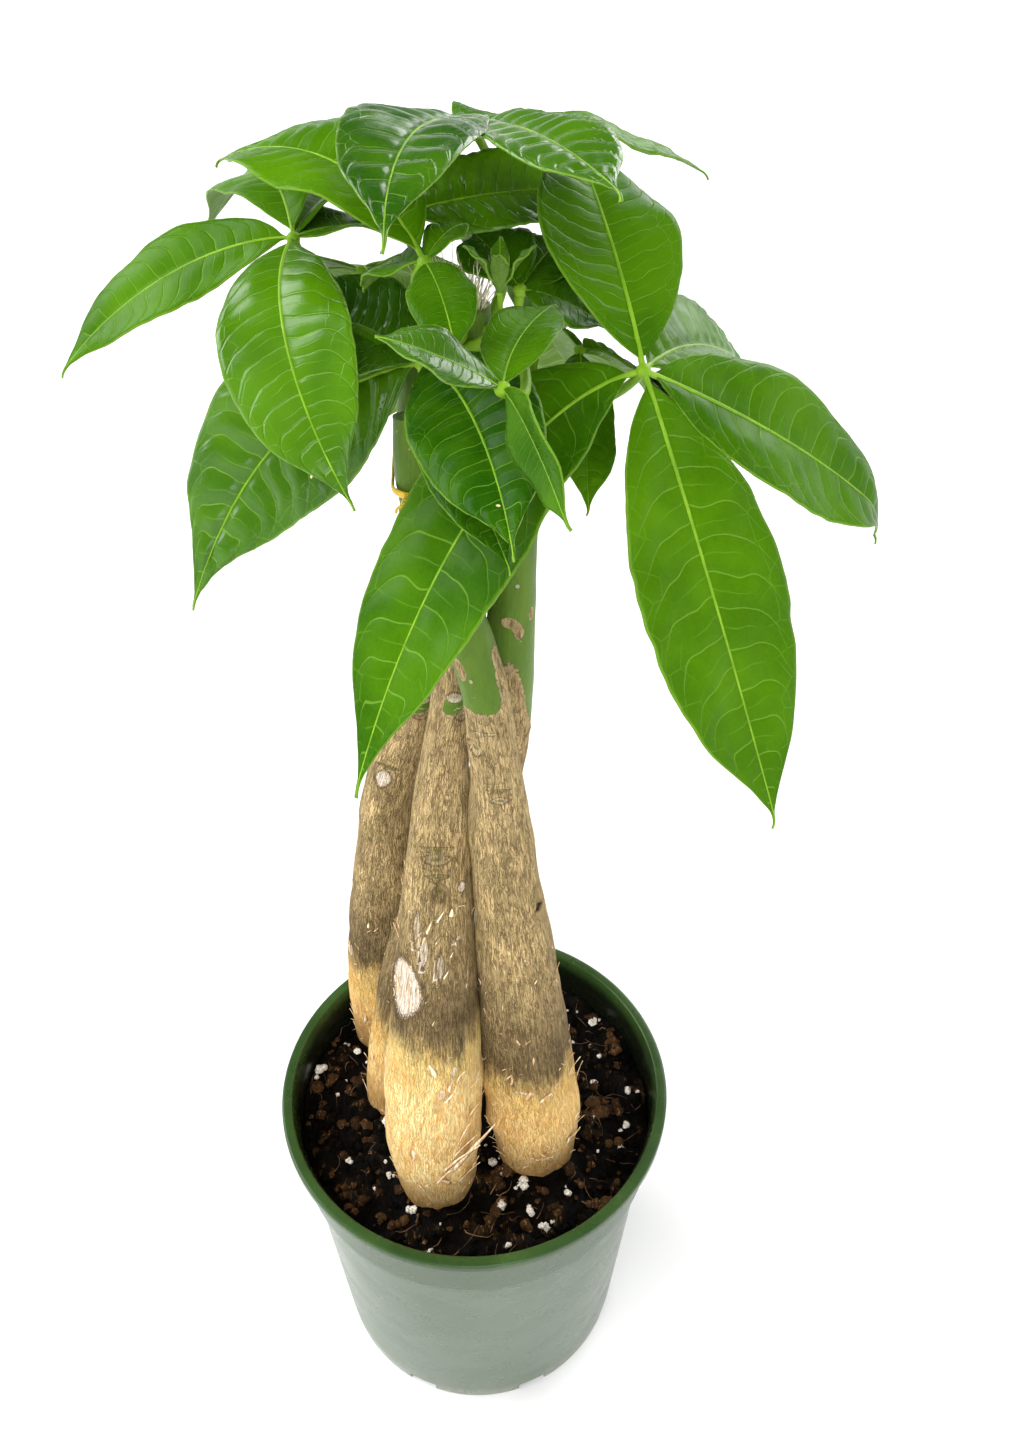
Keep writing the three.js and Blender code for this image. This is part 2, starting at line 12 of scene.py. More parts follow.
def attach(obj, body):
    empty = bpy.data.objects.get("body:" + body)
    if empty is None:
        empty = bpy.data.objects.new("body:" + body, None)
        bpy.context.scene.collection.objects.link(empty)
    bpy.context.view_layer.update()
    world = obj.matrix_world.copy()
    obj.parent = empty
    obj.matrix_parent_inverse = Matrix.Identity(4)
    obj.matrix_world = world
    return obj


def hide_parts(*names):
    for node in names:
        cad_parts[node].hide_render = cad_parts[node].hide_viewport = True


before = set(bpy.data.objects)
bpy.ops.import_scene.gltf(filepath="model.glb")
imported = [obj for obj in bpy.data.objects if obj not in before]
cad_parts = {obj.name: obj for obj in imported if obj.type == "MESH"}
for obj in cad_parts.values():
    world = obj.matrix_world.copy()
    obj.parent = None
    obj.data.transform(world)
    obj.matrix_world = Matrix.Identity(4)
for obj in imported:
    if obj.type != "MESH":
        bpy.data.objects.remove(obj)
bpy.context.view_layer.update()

MM = 0.001
UP = Vector((0, 0, 1))
BODY = "root"

# ---- The photograph's view ----
VIEW_FROM = (0.016, -0.290, 0.558)
VIEW_DOWN = math.radians(36.5)
PHOTO_HEIGHT = 1436  # pixels
FOCAL_LENGTH = 1100  # in the photograph's pixels
SENSOR = 36
# Each lamp's strength, how many degrees it spans, and the direction that it shines from.
LAMPS = (("key", 2.6, 66, (-0.4, -0.4, 0.85)), ("fill", 0.5, 90, (0.6, 0.1, 0.7)))
# How bright the room is at its foot and at its ceiling, and the direction and strength of its soft boxes.
SKY_GLOW = (1.15, 0.1)
SKY_BETWEEN = (0.1, 0.6)  # where that changes, as the height of a direction
SOFT_BOXES = (((-0.75, 0.25, 0.6), 6.0), ((0.5, 0.75, 0.5), 5.0), ((0.1, -0.85, 0.5), 4.0))
SOFT_BOX_EDGE = (0.93, 0.96)  # where it fades in, as cosines of the angle from its middle
FLOOR_RADIUS = 30  # metres
FLOOR_SIDES = 64

# ---- Pot ----
POT_HEIGHT = 150
LIP_RADIUS = 82.5
LIP_WIDTH = 3.5
LIP_DROP = 4.5
LIP_ROUNDING = 1.1
BAND_RADIUS = 77.6
BAND_BOTTOM = 121.5
STEP_HEIGHT = 119.5
STEP_RADIUS = 75.2
FOOT_RADIUS = 66.4
FOOT_ROUNDING = 1.8
POT_WALL = 1.6
POT_FLOOR = 2.2
POT_SIDES = 144
NOTCHES = 8
NOTCH_WIDTH = 13
NOTCH_HEIGHT = 6
NOTCH_DEPTH = 7
# Where the wall's outline has a point, up its outside and down its inside.
WALL_HEIGHTS = [10, 30, 55, 80, 105, 118, 119.5, 120, 120.5, 121, 121.5, 123, 130, 138]
INSIDE_HEIGHTS = [143, 136, 125, 121.5, 119.5, 90, 50, POT_FLOOR]

# ---- Soil ----
SOIL_LEVEL = 131.5
SOIL_MOUND = 2.5
SOIL_LUMP = 1.5
SOIL_RINGS = 60
SOIL_SIDES = 150
SOIL_ROUGHNESS = 3.4
CRUMBS = 760
PERLITE = 80
FIBRES = 110
# From the least to the most: the sizes of grains and how many lie together, then the fibres' lengths and radii.
CRUMB_SIZES = (0.9, 3.6)
PERLITE_SIZES = (0.8, 2.8)
CLUSTER = (1, 3)
FIBRE_LENGTHS = (4, 15)
FIBRE_RADII = (0.1, 0.3)
FIBRE_BEND = 1.2  # radians, at most
GRAIN_SIDES = 7
GRAIN_ROWS = 5
GRAIN_RAGGED = 0.22  # in the size of the grain

# ---- Clearance, leaf stalks and tie ----
GAP = 0.35
STALK_FOOT = 2.0
STALK_TOP = 1.1
HUB = 1.9
LEAF_THICKNESS = 0.5
TIE_HEIGHT = 427
TIE_OFFSET = 0.6  # from the stems' bark to the middle of the tie
TIE_HALF_THICKNESS = 0.45
TIE_HALF_BREADTH = 1.1
TIE_STEPS = 72
TIE_SIDES = 8
TIE_TAIL = 5
TIE_TURNS = 2.5  # of one end round the other
TIE_BEARING = 250

# ---- Stems: points up the middle line of each, with the radius there ----
STEMS = {
    "stem_front": [
        (-15, -33, 76, 12), (-15, -34, 104, 13), (-15, -34, 132, 15.6), (-16, -33, 160, 18.6),
        (-15, -29, 195, 18), (-13, -21, 235, 15.6), (-10.5, -10, 280, 12.2), (-7, 0, 325, 8.5),
        (-3, 7, 350, 7.8), (0, 10, 385, 7.5), (2, 9, 425, 7.3), (3, 3, 474, 7),
    ],
    "stem_right": [
        (26, -20, 76, 12), (26, -20, 104, 13.5), (26, -20, 132, 16.5), (25, -20, 160, 19),
        (22, -18, 200, 17), (18, -16, 245, 14.3), (14, -15, 290, 11.2), (11, -14, 330, 9),
        (7, -11, 365, 8), (-3, -8, 400, 7.4), (-10, -3, 428, 7.1), (-10, 0, 446, 7),
    ],
    "stem_left": [
        (-40, 36, 76, 9), (-42, 38, 104, 10.5), (-44, 40, 132, 12.8), (-44, 39, 160, 14),
        (-42, 37, 200, 12.8), (-36, 34, 245, 11.8), (-29, 31, 290, 10.8), (-19, 27, 325, 9.8),
        (-14, 24, 355, 8.6), (-12, 21, 400, 7.6), (-11, 20, 435, 7.2), (-10, 22, 464, 7),
    ],
    "stem_back": [
        (-36, 4, 76, 10), (-36, 4, 104, 11.5), (-35, 5, 132, 13.4), (-32, 8, 160, 14.2),
        (-26, 13, 200, 12.8), (-15, 19, 238, 11.6), (-1, 21, 272, 10.8), (9, 18, 302, 9.8),
        (14, 13, 332, 8.8), (16, 9, 362, 7.9), (17, 8, 400, 7.3), (18, 10, 450, 7),
    ],
}
# Where each stem's pale foot ends and where its bark gives way to green, as heights, and how orange the foot is.
STEM_TONES = {
    "stem_front": {"pale_to": 216, "green_from": 385, "fade": 40, "warm": 0.1},
    "stem_right": {"pale_to": 188, "green_from": 359, "fade": 4, "warm": 0.45},
    "stem_left": {"pale_to": 186, "green_from": 350, "fade": 40, "warm": 0.45},
    "stem_back": {"pale_to": 180, "green_from": 336, "fade": 14, "warm": 0.3},
}
# Where bark reaches up into the green, or green shows through the bark: height, bearing, width, tall, and how
# much greener it is there.
PATCHES = {
    "stem_front": [(349, -87, 9, 7, 1.0)],
    "stem_right": [(362, -20, 9, 42, -1.0), (373, -130, 5, 9, -1.0)],
    "stem_left": [(336, -83, 8, 6, 1.0), (380, -90, 8, 14, -0.9)],
    "stem_back": [
        (351, -100, 12, 29, -1.0), (337, -86, 14, 30, -1.0), (379, -102, 7, 4.5, -1.0), (375.5, -76, 4.5, 6, -1.0),
        (381, -40, 3, 6, -1.0), (372, 60, 9, 22, -1.0), (392, 140, 8, 12, -1.0),
    ],
}
# Marks in the bark: height and bearing, how wide and how tall, how far it stands in (or out, if negative), how
# pale it is, from -1 for black to 1 for bare wood.
SCARS = {
    "stem_front": [
        (296, -91, 11, 4.2, 0.8, 0.12), (300, -91, 11, 2.2, -0.7, -0.2), (290, -88, 8, 2.2, -0.5, -0.2),
        (284, -82, 6, 7, 0.7, -0.4), (244, -138, 20, 25, 0.9, 1.0), (284, -45, 3.2, 4.4, -0.5, 0.9),
        (262, -104, 3.5, 12, 0.6, 0.7), (256, -78, 3, 11, 0.6, 0.5), (270, -120, 3, 12, 0.5, 0.4),
        (352, -87, 6, 4, -1.2, 0.5), (265, -50, 2, 2, -0.4, 0.8), (203, -75, 4, 6, -0.8, 0.4),
        (212, -60, 3, 5, -0.6, 0.5), (170, -110, 3, 7, 0.5, 0.6), (345, -60, 5, 3, 0.5, 0.3),
    ],
    "stem_right": [
        (327, -84, 7, 2.6, 0.6, 0.2), (331, -84, 8, 1.4, -0.5, -0.3), (345, -138, 9, 5, 0.9, 0.15),
        (352, -100, 9, 1.2, -0.4, 0.3), (277, -30, 5, 3.2, 1.0, -1.0), (300, 80, 6, 2.4, 0.9, -0.4),
        (250, 120, 5, 2.2, 0.8, -0.4), (190, -95, 10, 1.2, -0.5, 0.7), (187, -60, 7, 1.2, -0.5, 0.7),
        (155, -40, 4, 6, 0.6, -0.2), (240, -30, 4, 2, 0.5, -0.2), (370, -108, 1.5, 1.5, -0.3, 0.4),
    ],
    "stem_left": [
        (300, -119, 7, 9, 0.6, 0.95), (306, -119, 9, 2.4, 0.9, -0.5), (339, -83, 6, 4, -1.2, 0.6),
        (331, -77, 6, 3, 0.3, 0.1), (198, -144, 3, 8, -0.6, 0.9), (260, 60, 6, 2.4, 0.9, -0.4),
        (230, 150, 5, 3, 0.7, 0.7), (270, -60, 3, 3, 0.4, -0.3),
    ],
    "stem_back": [
        (300, 70, 6, 2.4, 0.9, 0.2), (255, 110, 6, 4, 0.8, 0.8), (205, 170, 6, 2.6, 0.9, -0.4),
        (330, -20, 6, 2.4, 0.6, 0.2), (280, 180, 6, 2.6, 0.7, 0.2), (392, -83, 1.8, 1.8, -0.3, 0.4),
    ],
}
# Slivers that stand off the bark: the stem, the height and bearing of the root, then length, width, lift and slant.
SLIVERS = [
    ("stem_front", 157, -62, 22, 4.6, 2.5, 0.8), ("stem_front", 160, -72, 15, 3.4, 3, 0.9),
    ("stem_front", 150, -66, 10, 2.4, 3, -0.4), ("stem_front", 196, -72, 11, 2, 3.2, 0.3),
    ("stem_front", 200, -64, 12, 1.8, 3.8, -0.1), ("stem_front", 204, -56, 9, 1.6, 3, 0.2),
    ("stem_front", 259, -158, 7, 2.2, 2.4, -0.2), ("stem_front", 247, -128, 9, 2.5, 1.2, 0.2),
    ("stem_front", 238, -146, 8, 2.6, 1.4, -0.3), ("stem_right", 143, -66, 18, 1.8, 3.6, -0.4),
    ("stem_right", 150, -44, 13, 2.6, 3, 0.3), ("stem_right", 184, -78, 8, 1.6, 3, 0.6),
    ("stem_right", 184, -112, 7, 1.6, 2.6, -0.5), ("stem_left", 152, -118, 12, 2, 3, 0.3),
    ("stem_left", 196, -148, 9, 2, 2, 0), ("stem_back", 160, -150, 9, 1.6, 2, 0.3),
    ("stem_back", 170, 60, 10, 1.8, 2.4, 0.2), ("stem_left", 165, 70, 10, 1.6, 2.2, -0.2),
    ("stem_front", 262, -112, 13, 1.3, 1.2, 0.35), ("stem_front", 268, -98, 10, 1, 1, 0.5),
    ("stem_front", 255, -100, 12, 1.2, 1.1, 0.3), ("stem_front", 272, -62, 6, 2.2, 1.4, -0.1),
    ("stem_front", 246, -84, 9, 1.1, 1, 0.45), ("stem_front", 152, -84, 12, 1.6, 2, 0.5),
    ("stem_front", 146, -100, 10, 1.4, 1.8, -0.2), ("stem_front", 172, -52, 13, 1.8, 3, 0.25),
    ("stem_right", 146, -84, 9, 1.6, 2.6, -0.5), ("stem_front", 209, -80, 11, 2.2, 2.8, -0.35),
    ("stem_front", 148, -52, 12, 2.6, 4, 0.6), ("stem_front", 166, -58, 12, 2.4, 3.4, 0.7),
    ("stem_right", 188, -28, 9, 1.6, 3.4, 0.5), ("stem_right", 186, -95, 8, 1.8, 2.8, 0.3),
    ("stem_right", 176, -10, 9, 1.6, 3.4, 0.6), ("stem_front", 182, -40, 9, 1.8, 3, 0.5),
]
# The loose ends of the stems: hairs of bark on each, from its foot to some way above its pale part, and fibres on
# the front one's cut top.
BARK_HAIRS = 140
HAIRS_FROM = 134
HAIRS_PAST_PALE = 70
HAIR_LENGTHS = (1.5, 6)
HAIR_WIDTHS = (0.3, 1.4)
HAIR_LIFTS = (0.4, 3)
SLIVER_HALF_THICKNESS = 0.16
FRAY_FIBRES = 110
FRAY_LENGTHS = (9, 20)
FRAY_RADII = (0.16, 0.22)
STEM_SIDES = 88
STEM_STEP = 1.15  # from ring to ring
STEM_ROUND = 0.99  # radius of the round stem in that of the many-sided one
CROWDED = 7  # stems closer than this swell until they touch
# The unevenness of the bark, in the stem's radius, and how much slimmer the stem is once its bark has ended.
LUMPS = 0.05
FINE_LUMPS = 0.03
KNUCKLES = 0.02
SLIMMER = 0.07
SLIMS_BETWEEN = (300, 350)
# How far below and above pale_to the pale foot fades, and how ragged its edge is.
PALE_FADE = (34, 84)
RAGGED = 9
# Where a patch and a scar fade out, in halves of their size, and the lip round a scar: its height in the scar's
# depth and its width.
PATCH_EDGE = (0.2, 1.6)
SCAR_EDGE = (0.75, 1.05)
SCAR_LIP = 0.4
SCAR_LIP_WIDTH = 0.22

# ---- Leaves: each hub, its stalk and its leaflets, as in the solids ----
# A leaflet arches up by its lift and aside by its side, most of it near the tip if late is above 1. It is turned
# round its midrib by roll, in degrees, and folded up at both sides by fold, and its tip curls down by curl. quilt is
# how far the blade swells between its veins, and tone how light a green it is: partly the leaflet's own green, and
# partly painted light and shade, lighter where a leaflet stands in the light and darker where it lies in shade.
LEAVES = {
    "leaf_right": dict(
        stem="stem_back", height=440, bearing=-20, hub=(48, -25, 467), face=(0.35, -0.55, 0.75), quilt=0.25,
        leaflets=[
            dict(tip=(32, 18, 509), width=38, lift=7, fold=8, quilt=0.4, tone=0.1),
            dict(tip=(95, 66, 434), width=36, lift=12, quilt=0.8, tone=0.5),
            dict(tip=(131, 8, 408), width=38, lift=5, late=1.6, curl=7, tone=0.23),
            dict(tip=(84, -76, 368), width=45, lift=6, side=1, fold=6, tone=0.65),
            dict(tip=(-25, -66, 370), width=43, lift=19, side=22, fold=8, tone=-0.05),
        ],
    ),
    "leaf_left": dict(
        stem="stem_left", height=448, bearing=150, hub=(-42, 20, 487), face=(-0.2, -0.2, 1), quilt=0.25,
        leaflets=[
            dict(tip=(-80, 76, 475), width=26, lift=19, side=8, late=1.3, tone=0.5),
            dict(tip=(-111, 20, 452), width=25, lift=10, side=4, late=1.1, roll=-25, fold=8, tone=0.45),
            dict(tip=(-24, -42, 441), width=35, lift=9, side=11, late=0.9, fold=6, tone=0.43, glossy=True),
            dict(tip=(-14, 45, 484), width=29, lift=3, tone=0.1),
            dict(tip=(-34, 66, 490), width=16, lift=4, fold=24, tone=0.3),
        ],
    ),
    "leaf_front_low": dict(
        stem="stem_right", height=440, bearing=-70, hub=(-8, -2, 461), face=(-0.1, -0.5, 0.85), quilt=0.9,
        leaflets=[
            dict(
                tip=(-77, -10, 394), width=46, lift=15, side=9, late=1.7, roll=-34, fold=8, quilt=1.1, tone=0.3,
                glossy=True,
            ),
            dict(tip=(16, -82, 449), width=32, lift=9, side=-5, quilt=0.7, tone=-0.7),
            dict(tip=(-44, 20, 470), width=34, lift=2, fold=14, quilt=1.4, tone=-0.3, glossy=True),
            dict(tip=(15, -64, 435), width=22, lift=2, tone=-0.3),
        ],
    ),
    "leaf_front_high": dict(
        stem="stem_front", height=469, bearing=265, bow=(-7, 0, 2), hub=(-4, -25, 492), face=(-0.1, -0.3, 0.95),
        quilt=0.5,
        leaflets=[
            dict(tip=(-58, 18, 506), width=33, lift=17, side=5, roll=12, tone=0.5),
            dict(tip=(4, -58, 483), width=15.5, lift=2, side=-1, tone=0.1),
            dict(tip=(-21, -6, 481), width=14, lift=3, tone=0.1),
            dict(tip=(5, -10, 497), width=9, lift=3, tone=0.3),
        ],
    ),
    "leaf_top": dict(
        stem="stem_front", height=462, bearing=65, bow=(8, 18, 0), hub=(6, 25, 512), face=(0, -0.2, 1), quilt=0.7,
        leaflets=[
            dict(tip=(-9, -62, 506), width=30, lift=11, side=5, late=1.1, fold=14, tone=-0.4, glossy=True),
            dict(tip=(37, -50, 512), width=27, lift=7, tone=0.3, glossy=True),
            dict(tip=(73, 70, 494), width=24, lift=8, tone=0.7),
            dict(tip=(16, 72, 506), width=22, lift=4, tone=0.3),
            dict(tip=(-22, 40, 502), width=22, lift=4, tone=0.3),
        ],
    ),
    "leaf_middle": dict(
        stem="stem_front", height=468, bearing=110, hub=(-12, 8, 495), face=(0, -0.5, 0.85), quilt=1.3,
        leaflets=[
            dict(tip=(36, 25, 498), width=30, lift=3, fold=12, tone=0.6, glossy=True),
            dict(tip=(8, 62, 480), width=22, lift=3, tone=0),
            dict(tip=(-22, 64, 486), width=24, lift=6, tone=0.2),
        ],
    ),
    "leaf_front_young": dict(
        stem="stem_front", height=465, bearing=290, bow=(9, 0, 3), hub=(14, -60, 475), face=(0, -0.4, 0.9),
        quilt=0.35,
        leaflets=[
            dict(tip=(-10, -70, 489), width=13, lift=2, tone=0.35, glossy=True),
            dict(tip=(26, -20, 481), width=17, lift=3, side=-3, tone=0.35),
            dict(tip=(27, -90, 458), width=14, lift=4, roll=76, fold=20, tone=-0.1),
        ],
    ),
    "leaf_centre_young": dict(
        stem="stem_back", height=445, bearing=250, hub=(18, 0, 479), face=(0, -0.4, 0.9), quilt=0.8,
        leaflets=[
            dict(tip=(6, 20, 488), width=21, lift=2, tone=0),
            dict(tip=(30, 25, 486), width=20, lift=2, tone=0),
            dict(tip=(40, 0, 470), width=18, lift=3, tone=0.1),
        ],
    ),
    "leaf_back_right": dict(
        stem="stem_back", height=438, bearing=80, hub=(28, 62, 472), face=(0.1, 0.5, 0.85), quilt=0.5,
        leaflets=[
            dict(tip=(68, 112, 438), width=34, lift=14),
            dict(tip=(32, 145, 420), width=40, lift=16),
            dict(tip=(80, 62, 432), width=32, lift=12),
            dict(tip=(2, 100, 462), width=28, lift=6),
        ],
    ),
    "leaf_back_left": dict(
        stem="stem_left", height=440, bearing=100, hub=(-30, 62, 468), face=(-0.1, 0.5, 0.85), quilt=0.4,
        leaflets=[
            dict(tip=(-72, 112, 430), width=36, lift=14),
            dict(tip=(-30, 142, 415), width=38, lift=16),
            dict(tip=(-70, 70, 425), width=30, lift=12),
            dict(tip=(0, 96, 450), width=24, lift=6),
        ],
    ),
    "leaf_back_low": dict(
        stem="stem_left", height=410, bearing=80, hub=(2, 78, 446), face=(0, 0.6, 0.8), quilt=0.6,
        leaflets=[
            dict(tip=(-38, 142, 388), width=36, lift=14),
            dict(tip=(14, 160, 380), width=40, lift=16),
            dict(tip=(54, 122, 388), width=34, lift=12),
            dict(tip=(-40, 92, 408), width=28, lift=8),
        ],
    ),
    "leaf_side_right": dict(
        stem="stem_back", height=412, bearing=30, hub=(36, 36, 452), face=(0.4, 0.2, 0.9), quilt=0.6,
        leaflets=[
            dict(tip=(38, 0, 418), width=22, lift=5, tone=1),
            dict(tip=(78, 70, 408), width=32, lift=12, tone=0.3),
            dict(tip=(84, 28, 412), width=34, lift=12, tone=0.3),
            dict(tip=(44, 84, 420), width=28, lift=10, tone=0.3),
        ],
    ),
}
OUTLINE_BASE = 0.85
OUTLINE_TIP = 0.92
LEAFLET_STALK = 0.04
ARCH_LATE = 0.7  # how much of a leaflet's arch is left towards its tip
FOLD = 10
# The tone of a leaflet whose table gives none; tones carry painted light and shade as well as the leaflet's own
# green.
TONE = 0.3
DRIP_TIP = 0.04  # length in that of the leaflet
DRIP_TIP_MOST = 4
DRIP_TIP_STEPS = 6
DRIP_TIP_TURNS = (35, 12)  # degrees down and aside
WAVE = 0.9
BILLOW = 1.7
RUFFLE = 0.45
NICKS = 0.02  # in the half width
WAVES = 2
CURL_START = 0.82
BLADE_STEP = 1.4  # from one point of a blade to the next
LEAST_HALF_WIDTH = 0.4
MIDRIB_RADII = (0.85, 0.2)  # at the foot and at the tip of a leaflet of MIDRIB_WIDTH
MIDRIB_WIDTH = 34
VEIN_PAIRS = 13  # along a leaflet
# In spaces between side veins: how far the two halves of a blade lie apart on the flat that its veins are drawn on,
# and how far its side veins lean, and bend towards the margin.
SIDES_APART = 20.45
VEIN_LEAN = 0.24
VEIN_BEND = 4.5
STALK_SIDES = 12
STALK_STEPS = 26
LEAF_RIB_SIDES = 8
GLOSSY = 2  # slots in a leaf's materials, where each upper face comes just before its underside
STALK = 4

# ---- Young shoot ----
SHOOT_FOOT = dict(stem="stem_front", height=469, bearing=-25)
SHOOT_HUB = (13, -7, 480)
SHOOT_LEAFLETS = 4
SHOOT_LEAFLET = dict(length=14, width=4.5, spread=0.75, lift=2, fold=30)
SHOOT_QUILT = 0.15
SHOOT_SIDES = 10
SHOOT_RIB_SIDES = 6


# ---- Shapes: points, faces and marks, gathered into one piece ----


class Shape:
    """Points and faces of a piece. Each mark is a vector at every point, which the materials read."""

    def __init__(self, *marks):
        self.points = []
        self.faces = []
        self.slots = []
        self.marks = {mark: [] for mark in marks}

    def point(self, at, **marks):
        self.points.append(at)
        for mark, values in self.marks.items():
            values.append(marks.get(mark, (0, 0, 0)))
        return len(self.points) - 1

    def face(self, corners, slot=0):
        self.faces.append(corners)
        self.slots.append(slot)

    def skin(self, rows, slots):
        """Faces from each ring of points to the next, in the slot that slots gives for it."""
        for low, high, slot in zip(rows, rows[1:], slots):
            for side in range(len(low)):
                after = (side + 1) % len(low)
                self.face((low[side], low[after], high[after], high[side]), slot)

    def closed(self, rows, slots):
        """The skin and a face across each end."""
        self.skin(rows, slots)
        self.face(rows[0][::-1], slots[0])
        self.face(rows[-1], slots[-1])

    def rings(self, rings, slot=0, mark=None):
        """The closed skin through rings of places. mark(row, side) gives a point's marks."""
        rows = [
            [self.point(at, **(mark(row, side) if mark else {})) for side, at in enumerate(ring)]
            for row, ring in enumerate(rings)
        ]
        self.closed(rows, [slot] * (len(rows) - 1))

    def tube(self, stations, sides, slot=0):
        self.rings(rings_along(stations, sides), slot)

    def piece(self, name, materials):
        mesh = bpy.data.meshes.new(name)
        mesh.from_pydata([tuple(at) for at in self.points], [], self.faces)
        for material in materials:
            mesh.materials.append(material)
        mesh.polygons.foreach_set("material_index", self.slots)
        mesh.polygons.foreach_set("use_smooth", [True] * len(self.faces))
        for mark, values in self.marks.items():
            layer = mesh.attributes.new(mark, "FLOAT_VECTOR", "POINT")
            layer.data.foreach_set("vector", [number for value in values for number in value])
        mesh.update()
        made = bpy.data.objects.new(name, mesh)
        bpy.context.scene.collection.objects.link(made)
        return made


def settle(piece):
    """Works the piece's modifiers into its mesh."""
    bpy.context.view_layer.update()
    depsgraph = bpy.context.evaluated_depsgraph_get()
    mesh = bpy.data.meshes.new_from_object(
        piece.evaluated_get(depsgraph), preserve_all_data_layers=True, depsgraph=depsgraph
    )
    piece.modifiers.clear()
    piece.data = mesh


def join(first, other):
    with bpy.context.temp_override(active_object=first, object=first, selected_editable_objects=[first, other]):
        bpy.ops.object.join()


def square_to(direction, along):
    return (direction - along * direction.dot(along)).normalized()


def ellipse(centre, right, up, sides):
    turns = [2 * math.pi * side / sides for side in range(sides)]
    return [centre + right * math.cos(turn) + up * math.sin(turn) for turn in turns]


def ring(centre, right, up, radius, sides):
    return ellipse(centre, right * radius, up * radius, sides)


def rings_along(stations, sides):
    """Rings round a line of (place, radius), turned as little as possible from one to the next."""
    start = (stations[1][0] - stations[0][0]).normalized()
    across = Vector((1, 0, 0)) if abs(start.x) < 0.8 else Vector((0, 1, 0))
    rings = []
    for row, (at, radius) in enumerate(stations):
        before = stations[max(row - 1, 0)][0]
        after = stations[min(row + 1, len(stations) - 1)][0]
        along = (after - before).normalized()
        across = square_to(across, along)
        rings.append(ring(at, across, along.cross(across), radius, sides))
    return rings


def bezier(controls, t):
    a, b, c, d = controls
    return a * (1 - t) ** 3 + b * (3 * t * (1 - t) ** 2) + c * (3 * t * t * (1 - t)) + d * t**3


def bezier_direction(controls, t):
    a, b, c, d = controls
    return ((b - a) * (1 - t) ** 2 + (c - b) * (2 * t * (1 - t)) + (d - c) * t**2).normalized()


def lerp(low, high, share):
    return low + (high - low) * share


def smooth(low, high, value):
    share = min(max((value - low) / (high - low), 0), 1)
    return share * share * (3 - 2 * share)


def shares(steps):
    """Even steps from 0 to 1."""
    return [step / steps for step in range(steps + 1)]


def bearing(degrees):
    return Vector((math.cos(math.radians(degrees)), math.sin(math.radians(degrees)), 0))


# ---- Materials: the nodes that they are made of ----

trees = []  # the node trees that are being filled, the one at hand last


class Value:
    """What a node gives, for sums with other values and with numbers."""

    def __init__(self, socket):
        self.socket = socket

    def __add__(self, other):
        return calc("ADD", self, other)

    def __sub__(self, other):
        return calc("SUBTRACT", self, other)

    def __rsub__(self, other):
        return calc("SUBTRACT", other, self)

    def __mul__(self, other):
        return calc("MULTIPLY", self, other)

    def siblings(self):
        """All that the same node gives."""
        return [Value(socket) for socket in self.socket.node.outputs]


def set_socket(socket, value):
    if isinstance(value, Value):
        trees[-1].links.new(value.socket, socket)
    elif isinstance(value, tuple) and len(value) == 3 and socket.type == "RGBA":
        socket.default_value = (*value, 1)
    else:
        socket.default_value = value


def put(kind, settings, sockets, output=0):
    """What a new node in the tree at hand gives. Its sockets are set or joined by their names or numbers."""
    made = trees[-1].nodes.new(kind)
    for name, value in settings.items():
        setattr(made, name, value)
    for socket, value in sockets.items():
        set_socket(made.inputs[socket], value)
    return Value(made.outputs[output])


def calc(operation, *values, clamp=False):
    return put("ShaderNodeMath", {"operation": operation, "use_clamp": clamp}, dict(enumerate(values)))


def span(value, low, high, to_low=0.0, to_high=1.0):
    """value, eased from to_low at low to to_high at high."""
    sockets = {"Value": value, "From Min": low, "From Max": high, "To Min": to_low, "To Max": to_high}
    return put("ShaderNodeMapRange", {"interpolation_type": "SMOOTHSTEP"}, sockets)


def mixed(mask, first, second):
    return put("ShaderNodeMix", {"data_type": "RGBA"}, {0: mask, 6: first, 7: second}, output=2)


def scaled(vector, scale):
    return put("ShaderNodeVectorMath", {"operation": "MULTIPLY"}, {0: vector, 1: scale})


def noise_at(vector, scale, detail=3.0, roughness=0.5, distortion=0.0):
    sockets = {"Vector": vector, "Scale": scale, "Detail": detail, "Roughness": roughness, "Distortion": distortion}
    return put("ShaderNodeTexNoise", {}, sockets, output="Fac")


def cell_edge(vector, scale, randomness):
    """How far a place on a flat is from the edge of its cell."""
    settings = {"feature": "DISTANCE_TO_EDGE", "voronoi_dimensions": "2D"}
    sockets = {"Vector": vector, "Scale": scale, "Randomness": randomness}
    return put("ShaderNodeTexVoronoi", settings, sockets, output="Distance")


def place():
    """The place on the object, in its own frame."""
    return put("ShaderNodeTexCoord", {}, {}, output="Object")


def marked(name):
    """A shape's mark, as a vector, in a material's nodes or in a modifier's."""
    if trees[-1].type == "GEOMETRY":
        return put("GeometryNodeInputNamedAttribute", {"data_type": "FLOAT_VECTOR"}, {"Name": name})
    return put("ShaderNodeAttribute", {"attribute_name": name}, {}, output="Vector")


def parts(vector):
    return put("ShaderNodeSeparateXYZ", {}, {0: vector}).siblings()


def flat_place(x, y):
    return put("ShaderNodeCombineXYZ", {}, {"X": x, "Y": y})


def bump(height, distance, strength=1.0):
    return put("ShaderNodeBump", {}, {"Height": height, "Distance": distance, "Strength": strength}, output="Normal")


